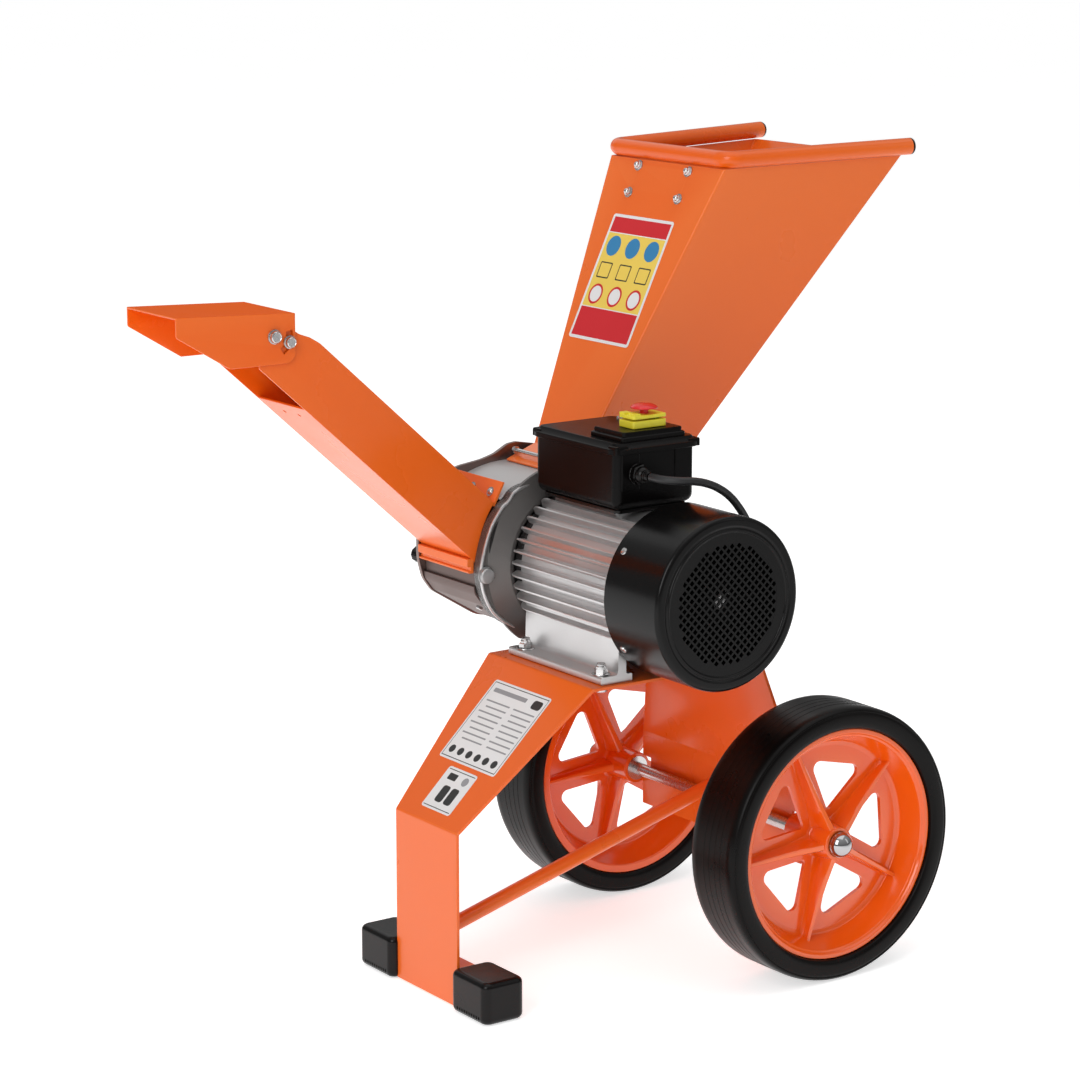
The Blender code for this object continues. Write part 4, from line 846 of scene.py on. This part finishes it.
cone = Shape().lathe(HUB, FORWARD, fillet([
    (0.0670, 0.0790), (0.0706, 0.0790, 0.0015), (0.0865, 0.0866, 0.006), (0.0905, 0.0886),
    (0.0905, 0.0920), (0.0670, 0.0920)], steps=5), 120)
piece("drum_flange", flange, [GREY_CAST, CAST], stands_for="chamber_flange",
      cutters=[Shape().rod(HUB, FORWARD, 0.0160, 0.05, 0.2, 48)], plus=lip, sharp=35)
piece("flange_cone", cone, GREY_CAST,
      cutters=[Shape().block((-0.15, 0.15), (0.05, 0.12), (0.20, 0.2925))], sharp=35)
# Painted shade: a thin dark arc on the flange's face stands for the shadow in a curved groove.
groove_shade = Shape()
rows = []
for k in range(15):
    turn = math.radians(151 + 20 * k / 14)
    wide = 0.0013 * math.sin(math.pi * (k + 0.35) / 14.7)
    r0, r1 = 0.0893 - wide, 0.0893 + wide
    rows.append([(r * math.cos(turn), y, AXIS_Z + r * math.sin(turn))
                 for r, y in ((r0, 0.0874), (r1, 0.0876), (r1, 0.0890), (r0, 0.0890))])
groove_shade.loft(rows)
piece("flange_groove_shade", groove_shade, DARK)

tie = Vector((-0.0935, 0, 0.3595))
bolt = Shape()
bolt.lathe(tie, FORWARD, [(0, 0.0806), (0.0050, 0.0806), (0.0066, 0.0812), (0.0075, 0.0826),
                          (0.0075, 0.0850), (0.0072, 0.0856), (0.0081, 0.0858), (0.0083, 0.0864),
                          (0.0081, 0.0872), (0.0033, 0.0874), (0.0033, 0.1878), (0, 0.1878)], 40)
bolt.paint = 1
bolt.lathe(tie, FORWARD, [(0, 0.1879), (0.0068, 0.1879), (0.0074, 0.1886), (0.0074, 0.2030), (0.0066, 0.2044),
                          (0.0050, 0.2052), (0, 0.2054)], 32)
for k in range(10):
    turn = 2 * math.pi * k / 10
    spot = tie + Vector((math.cos(turn), 0, math.sin(turn))) * 0.0070
    bolt.tube([spot + Vector((0, y, 0)) for y in (0.1888, 0.2030)], 0.0009, 8)
piece("tie_stud", bolt, [DULL_ZINC, BLACK], stands_for="tie_bolt", sharp=32)

plate = Shape().prism(fillet([
    (-0.1053, 0.3600, 0.05), (-0.1000, 0.3400, 0.03), (-0.0900, 0.3265, 0.02), (-0.0400, 0.2960, 0.03),
    (-0.0280, 0.2935, 0.02), (0.0280, 0.2935, 0.01), (0.0900, 0.3265, 0.02), (0.1053, 0.3600, 0.03),
    (0.1053, 0.4050, 0.03), (0.0850, 0.4440, 0.03), (0.0300, 0.4575, 0.03), (0.0089, 0.4614, 0.012),
    (-0.0009, 0.4603, 0.014), (-0.0166, 0.4521, 0.04), (-0.0322, 0.4481, 0.04), (-0.0625, 0.4442, 0.03),
    (-0.0925, 0.4241, 0.03), (-0.1053, 0.3850, 0.03)], steps=6), "y", 0.1836, 0.1876)
gaps = Shape()
gaps.rod(HUB, FORWARD, 0.0180, 0.15, 0.25, 64)
piece("end_plate", plate, PLATE, stands_for="chamber_plate", cutters=[gaps],
      edge=0.0006)
cap = Shape()
cap.lathe(HUB, FORWARD, fillet([(0, 0.1880), (0.0270, 0.1880, 0.0006), (0.0265, 0.1905, 0.0012),
                                (0.0195, 0.1912, 0.002), (0.0180, 0.1940, 0.002), (0.0120, 0.1946),
                                (0, 0.1946)], closed=False, steps=4), 72)
piece("bearing_cover", cap, GREY_CAST, sharp=35)
screws = Shape()
for turn in (30, 150, 270):
    spot = Vector((0, 0.1904, AXIS_Z)) + spoke(math.radians(turn))[0] * 0.0228
    screws.hex(spot, FORWARD, 0.0048, 0.0, 0.0022, turn)
for x, z in ((0.0880, 0.4000), (0.0780, 0.3350), (-0.0700, 0.3230), (-0.0860, 0.4150), (0.0200, 0.4480)):
    screws.lathe((x, 0, z), FORWARD, [(0, 0.1877), (0.0052, 0.1877), (0.0052, 0.1886), (0, 0.1886)], 28)
    screws.hex((x, 0, z), FORWARD, 0.0070, 0.1885, 0.1916, x * 40)
piece("plate_screws", screws, ZINC, sharp=30)

cover = banded(smooth([Vector(p) for p in ((-0.0695, 0.4280), (-0.0470, 0.4385), (-0.0240, 0.4440),
                                           (-0.0028, 0.4452), (0.0180, 0.4440))], 8), 0.0020, 0.0979, 0.1832)
piece("top_cover", cover, SHEET_GREY, stands_for="chamber_cover", edge=0.0004)
liner = banded(fillet([(0.1030, 0.3600, 0.01), (0.0880, 0.3282, 0.02), (0.0280, 0.2955, 0.02),
                       (-0.0280, 0.2955, 0.01), (-0.0392, 0.2978, 0.01), (-0.0885, 0.3272, 0.012),
                       (-0.0985, 0.3400, 0.012), (-0.0995, 0.3470)], closed=False, steps=5), 0.0020,
               0.0979, 0.1832)
piece("drum_trough", liner, TROUGH, stands_for="chamber_liner", edge=0.0004)
shield = banded([(-0.0930, 0.3370), (-0.0958, 0.3440), (-0.0970, 0.3540), (-0.0968, 0.3650)], 0.0010,
                0.0979, 0.1832)
piece("drum_shield", shield, TROUGH, sharp=35)
stud = Shape()
side = Vector((-0.5120, 0, -0.8590))
spot = Vector((-0.0780, 0.1190, 0.3210)) + side * 0.0002
stud.hex(spot, side, 0.0062, 0.0, 0.0024, 0.2)
piece("trough_screw", stud, ZINC, sharp=30)

# Discharge chute and deflector -------------------------------------------------------------------------

TILT = math.radians(138.3)
ALONG = Vector((math.cos(TILT), math.sin(TILT)))
ACROSS = Vector((ALONG.y, -ALONG.x))
LOW, HIGH = 0.2118, 0.2668
PIVOT, CLAMP = (-0.3122, 0.6021), (-0.2968, 0.5962)


def up_chute(along, across):
    """(x, z) of a place this far up the chute's line and this far across it."""
    spot = ALONG * along + ACROSS * across
    return spot.x, spot.y


def arc(centre, radius, first, last, steps):
    turns = [math.radians(first + (last - first) * k / steps) for k in range(steps + 1)]
    return [(centre[0] + radius * math.cos(t), centre[1] + radius * math.sin(t)) for t in turns]


y0, y1 = CHUTE_Y - 0.0425, CHUTE_Y + 0.0425
shoulder = [(*up_chute(0.6130, 0.2600), 0.012), (*up_chute(0.6020, 0.2645), 0.012),
            (*up_chute(0.5900, HIGH), 0.02), up_chute(0.3000, HIGH)]
outline = fillet([up_chute(0.3000, LOW), up_chute(0.6250, LOW)] + arc(PIVOT, 0.0155, 190, 50, 14) + shoulder)
chute = Shape().prism(outline, "y", y0, y1)
channel = Shape().prism([up_chute(*p) for p in (
    (0.2500, LOW + 0.0020), (0.5630, LOW + 0.0020), (0.5640, 0.1818), (0.7500, 0.1818), (0.7500, 0.3268),
    (0.5850, 0.3268), (0.5840, HIGH - 0.0020), (0.2500, HIGH - 0.0020))], "y", y0 + 0.0020, y1 - 0.0020)
foot = Shape().rod(HUB, FORWARD, 0.0955, 0.0, 0.3, 160)
holes = Shape()
for spot, size in ((PIVOT, 0.0036), (CLAMP, 0.0031)):
    holes.rod((spot[0], 0, spot[1]), FORWARD, size, 0.0, 0.3, 24)
for y in (-0.0130, 0.0130):
    spot = up_chute(0.5480, LOW)
    holes.rod((spot[0], CHUTE_Y + y, spot[1]), (ACROSS.x, 0, ACROSS.y), 0.0019, -0.01, 0.01, 20)
piece("chute_duct", chute, ORANGE, stands_for="discharge_chute",
      cutters=[channel, foot, holes], edge=0.0007)
lips = Shape()
lips.prism(fillet([(-0.0766, 0.4218, 0.0004), (-0.0650, 0.4433, 0.0004), (-0.0632, 0.4424, 0.0004),
                   (-0.0748, 0.4208, 0.0004)]), "y", y0 + 0.0003, y1 - 0.0003)
for low, high, reach in ((0.3600, 0.3622, -0.1046), (0.3662, 0.3740, -0.1058)):
    lips.prism(fillet([(reach, low, 0.0008), (-0.0988, low), (-0.0988, high), (reach, high, 0.0008)]), "y",
               y0 + 0.0003, y1 - 0.0003)
lips.block((-0.1022, -0.0988), (y0 + 0.0004, y1 - 0.0004), (0.3602, 0.3738))
piece("chute_lips", lips, ORANGE, sharp=30)
screws = Shape()
tilt = Vector((-0.8800, 0, 0.4750))
for y in (0.1110, 0.1410, 0.1710):
    spot = Vector((-0.0708, y, 0.4326)) + tilt * 0.0002
    screws.lathe(spot, tilt, [(0, 0), (0.0046, 0), (0.0046, 0.0007), (0, 0.0007)], 28)
    screws.dome(spot, tilt, 0.0032, 0.0006, 0.0020)
tilt = Vector((-0.3520, 0, 0.9360))
screws.rod((-0.0006, 0, 0.4562), FORWARD, 0.0020, 0.1180, 0.1745, 20)
screws.hex((-0.0006, 0, 0.4562), FORWARD, 0.0068, 0.1690, 0.1722, 0.1)
piece("chamber_screws", screws, ZINC, sharp=30)

half = 0.0451
hood = Shape().prism(fillet([
    (-0.2900, 0.6215), (-0.4100, 0.6265), (-0.4100, 0.6090, 0.003), (-0.3570, 0.5770, 0.004),
    (-0.2900, 0.5770, 0.0100)], steps=8), "y", CHUTE_Y - half, CHUTE_Y + half)
inner = Shape().prism([(-0.2700, 0.6187), (-0.4300, 0.6254), (-0.4300, 0.5000), (-0.2700, 0.5000)], "y",
                      CHUTE_Y - half + 0.0020, CHUTE_Y + half - 0.0020)
holes = Shape().rod((PIVOT[0], 0, PIVOT[1]), FORWARD, 0.0035, 0.0, 0.3, 32)
slot = arc(PIVOT, 0.0197, -58, 14, 14) + arc(PIVOT, 0.0129, 14, -58, 14)
holes.prism(slot, "y", 0.0, 0.3)
hood.bm.normal_update()
for face in hood.bm.faces:
    if abs(face.normal.z) > 0.9 and face.calc_center_median().z > 0.61:
        face.material_index = 1
piece("deflector_hood", hood, [ORANGE, MATT_ORANGE], "deflector", "deflector",
      [inner, holes], edge=0.0006)
for side, sign in (("a", -1), ("b", 1)):
    for name, spot, shank, head in (("pivot", PIVOT, 0.0033, 0.0066), ("clamp", CLAMP, 0.0028, 0.0060)):
        base, reach = (spot[0], CHUTE_Y, spot[1]), half + 0.0002
        bolt = Shape()
        bolt.lathe(base, (0, sign, 0), [
            (0, reach - 0.0064), (shank, reach - 0.0064), (shank, reach), (head, reach),
            (head + 0.0002, reach + 0.0006), (head, reach + 0.0013), (head * 0.86, reach + 0.0014),
            (head * 0.86, reach + 0.0040), (head * 0.80, reach + 0.0050), (head * 0.66, reach + 0.0056),
            (head * 0.60, reach + 0.0052), (0, reach + 0.0052)], 48)
        piece(f"{name}_screw_{side}", bolt, STEEL, stands_for=f"{name}_bolt_{side}",
              sharp=30)

# Hopper ------------------------------------------------------------------------------------------------

NECK = ((0.0213, 0.1545), 0.4519, 0.0395)
MOUTH_REAR, MOUTH_FRONT = (0.1572, 0.7362, 0.0922), (0.3615, 0.7406, 0.1155)


def hopper_rings(inset):
    """Rounded corners of the hopper at four heights, moved in by the sheet."""
    (xa0, xb0), z, half = NECK
    rear = (MOUTH_REAR[0] - xa0) / (MOUTH_REAR[1] - z)
    front = (MOUTH_FRONT[0] - xb0) / (MOUTH_FRONT[1] - z)
    levels = []
    for drop in (-0.1020, -0.0120):
        levels.append(((xa0 + rear * drop, z + drop, 0.0385), (xb0 + front * drop, z + drop, 0.0385)))
    levels.append(((xa0, z, half), (xb0, z, half)))
    levels.append(((MOUTH_REAR[0] - rear * 0.0088, MOUTH_REAR[1] - 0.0088, MOUTH_REAR[2] - 0.0016),
                   (MOUTH_FRONT[0] - front * 0.0088, MOUTH_FRONT[1] - 0.0088, MOUTH_FRONT[2] - 0.0023)))
    rings = []
    for (xa, za, ha), (xb, zb, hb) in levels:
        xa, xb, ha, hb = xa + inset * 1.11, xb - inset * 1.22, ha - inset * 1.03, hb - inset * 1.03
        corners = [Vector(c) for c in ((xa, MID_Y - ha, za), (xb, MID_Y - hb, zb), (xb, MID_Y + hb, zb),
                                       (xa, MID_Y + ha, za))]
        bend, ring = 0.0032 - inset * 0.9, []
        for i, corner in enumerate(corners):
            a = corner + (corners[i - 1] - corner).normalized() * bend
            b = corner + (corners[(i + 1) % 4] - corner).normalized() * bend
            ring += [a.lerp(corner, k / 5).lerp(corner.lerp(b, k / 5), k / 5) for k in range(6)]
        rings.append(ring)
    return rings


walls = Shape().loft(hopper_rings(0.0) + hopper_rings(0.0020)[::-1], closed=True)
foot = Shape().rod(HUB, FORWARD, 0.0952, 0.0, 0.3, 160)
lean = math.atan2(MOUTH_REAR[0] - NECK[0][0], MOUTH_REAR[1] - NECK[1])
DOWN = Vector((-math.sin(lean), 0, -math.cos(lean)))
OUT = Vector((-math.cos(lean), 0, math.sin(lean)))
WALL_TOP = Vector((MOUTH_REAR[0], MID_Y, MOUTH_REAR[1]))
STUDS = [(reach, y) for reach in (0.0165, 0.0447) for y in (-0.0393, 0.0393)]
holes = Shape()
for reach, y in STUDS:
    holes.rod(WALL_TOP + DOWN * reach + Vector((0, y, 0)), OUT, 0.0033, -0.008, 0.008, 20)
piece("hopper_walls", walls, ORANGE, stands_for=("hopper", "hopper_rear"),
      cutters=[foot, holes], sharp=35)
lip = Shape().prism(fillet([(-0.0085, 0.4476, 0.0005), (0.0260, 0.4606), (0.0266, 0.4585),
                            (-0.0078, 0.4456, 0.0005)]), "y", MID_Y - 0.0382, MID_Y + 0.0382)
piece("hopper_lip", lip, ORANGE, sharp=30)

rear, front = Vector(MOUTH_REAR), Vector(MOUTH_FRONT)
spread = (front.z - rear.z) / (front.x - rear.x)
rise = (front.y - rear.y) / (front.x - rear.x)
flat = []
for sign in (-1, 1):
    arm = [(0.3620, sign * (rear.z + spread * (0.3620 - rear.x)))]
    for turn in quarter_turn(10):
        arm.append((rear.x + 0.0140 * (1 - math.sin(turn)), sign * (rear.z - 0.0140 * (1 - math.cos(turn)))))
    flat += arm if sign < 0 else arm[::-1]
path = [Vector((x, MID_Y + y, rear.y + rise * (x - rear.x))) for x, y in flat]
piece("rim_tube", Shape().tube(path, 0.0082, 32), ORANGE, stands_for="hopper_rim",
      sharp=50)
for side, tip, last in (("a", path[0], path[1]), ("b", path[-1], path[-2])):
    way = (tip - last).normalized()
    cap = Shape().lathe(tip + way * 0.0002, way, [(0, 0), (0.0081, 0), (0.0082, 0.0005), (0.0081, 0.0014),
                                                  (0.0076, 0.0024), (0.0058, 0.0034), (0, 0.0040)], 40)
    piece(f"tube_plug_{side}", cap, RUBBER, stands_for=f"rim_cap_{side}", sharp=40)

strip = Shape()
rings = []
for reach in (0.0120, 0.0500):
    spot = WALL_TOP + DOWN * reach
    rings.append([spot + OUT * depth + Vector((0, y, 0)) for depth, y in
                  ((-0.0024, -0.0480), (-0.0024, 0.0480), (-0.0054, 0.0480), (-0.0054, -0.0480))])
strip.loft(rings)
for i, (reach, y) in enumerate(STUDS):
    spot = WALL_TOP + DOWN * reach + Vector((0, y, 0))
    strip.rod(spot, OUT, 0.0030, -0.0050, 0.0004, 20)
    strip.lathe(spot, OUT, [(0, 0.0001), (0.0054, 0.0001), (0.0055, 0.0006), (0.0053, 0.0011),
                            (0, 0.0011)], 36)
    strip.hex(spot, OUT, 0.0076, 0.0009, 0.0034, 0.4 + i)
    strip.dome(spot, OUT, 0.0033, 0.0030, 0.0030)
piece("clamp_strip", strip, ZINC, stands_for="flap_clamp", sharp=30)

# Blank plates and films --------------------------------------------------------------------------------


def film(name, origin, right, down, out, blocks):
    """A label of plain blocks (u0, u1, v0, v1, layer, paint, corner) and discs (u, v, r, layer, paint)."""
    shape = Shape()
    for block in blocks:
        if len(block) == 5:
            u, v, r, layer, paint = block
            outline = [(u + r * math.cos(t), v + r * math.sin(t)) for t in
                       (2 * math.pi * k / 32 for k in range(32))]
        else:
            u0, u1, v0, v1, layer, paint, corner = block
            outline = rounded_rect((u0, u1), (v0, v1), corner, 4) if corner else [
                (u0, v0), (u1, v0), (u1, v1), (u0, v1)]
        low = 0.00006 if layer == 0 else 0.00020 + 0.00004 * (layer - 1)
        shape.paint = paint
        shape.loft([[origin + right * p[0] + down * p[1] + out * d for p in outline]
                    for d in (low, 0.00026 + 0.00005 * layer)])
    piece(name, shape, [PAPER, *PRINTS],
          sharp=30)


wide, tall = 0.0960, 0.1290
blocks = [(0, wide, 0, tall, 0, 0, 0.0030), (0.003, wide - 0.003, 0.003, 0.0185, 1, 2, 0),
          (0.003, wide - 0.003, 0.0195, 0.0955, 1, 1, 0),
          (0.003, wide - 0.003, 0.0965, tall - 0.003, 1, 2, 0)]
for column in range(3):
    u = 0.0175 + 0.0305 * column
    blocks.append((u, 0.0325, 0.0105, 2, 3))
    blocks.append((u - 0.0095, u + 0.0095, 0.0495, 0.0660, 2, 4, 0.0015))
    blocks.append((u - 0.0082, u + 0.0082, 0.0508, 0.0647, 3, 1, 0.0010))
    blocks.append((u, 0.0825, 0.0105, 2, 2))
    blocks.append((u, 0.0825, 0.0082, 3, 0))
film("hopper_label", WALL_TOP + DOWN * 0.0675 + Vector((0, -0.0470, 0)), Vector((0, 1, 0)), DOWN, OUT, blocks)

slope = (Vector((-0.0924, 0, STAND_TOP)) - Vector((-0.2187, 0, 0.1638))).normalized()
away = Vector((-slope.z, 0, slope.x))
corner = Vector((-0.2187, 0, 0.1638))
wide, tall = 0.0895, 0.0900
blocks = [(0, wide, 0, tall, 0, 0, 0.0030), (0.0020, wide - 0.0020, 0.0022, 0.0030, 1, 4, 0),
          (0.0020, wide - 0.0020, tall - 0.0030, tall - 0.0022, 1, 4, 0),
          (0.0020, 0.0026, 0.0022, tall - 0.0022, 1, 4, 0),
          (wide - 0.0026, wide - 0.0020, 0.0022, tall - 0.0022, 1, 4, 0),
          (0.0060, 0.0200, 0.0065, 0.0160, 1, 4, 0.003), (0.0300, 0.0820, 0.0080, 0.0125, 1, 5, 0.001)]
for row in range(8):
    v = 0.0215 + 0.0062 * row
    blocks += [(0.0060, 0.0390 - 0.0020 * (row % 3), v, v + 0.0016, 1, 5, 0),
               (0.0450, 0.0820 - 0.0050 * (row % 2), v, v + 0.0016, 1, 5, 0)]
for column in range(6):
    blocks.append((0.0110 + 0.0135 * column, 0.0790, 0.0042, 1, 4))
film("rating_plate", corner + slope * 0.1530 + Vector((0, -0.0430, 0)), Vector((0, 1, 0)), -slope, away,
     blocks)
wide, tall = 0.0455, 0.0455
blocks = [(0, wide, 0, tall, 0, 0, 0.0030), (0.0020, wide - 0.0020, 0.0022, 0.0030, 1, 4, 0),
          (0.0020, wide - 0.0020, tall - 0.0030, tall - 0.0022, 1, 4, 0),
          (0.0110, 0.0100, 0.0045, 1, 5), (0.0250, 0.0380, 0.0060, 0.0130, 1, 4, 0.001),
          (0.0090, 0.0200, 0.0190, 0.0370, 1, 4, 0.003), (0.0230, 0.0340, 0.0190, 0.0370, 1, 4, 0.003)]
film("small_plate", corner + slope * 0.0580 + Vector((0, -0.0240, 0)), Vector((0, 1, 0)), -slope, away,
     blocks)

# CAD nodes whose shape is right --------------------------------------------------------------------------

for name, made, edge in (
        ("axle", STEEL, 0.0006), ("stator_core", DARK, 0), ("winding_a", COPPER, 0), ("winding_b", COPPER, 0),
        ("bearing_a", STEEL, 0), ("bearing_b", STEEL, 0), ("rotor_core", DARK, 0), ("motor_shaft", STEEL, 0),
        ("run_capacitor", SHEET_GREY, 0), ("cutter_drum", GREY_CAST, 0.0006), ("cooling_fan", BLACK, 0),
        ("end_bell_fan", DARK, 0), ("anvil_knife", STEEL, 0.0004), ("knife_a", STEEL, 0.0003),
        ("knife_b", STEEL, 0.0003), ("feed_flap", FLAP_RUBBER, 0.0006)):
    repaint(name, made, edge)
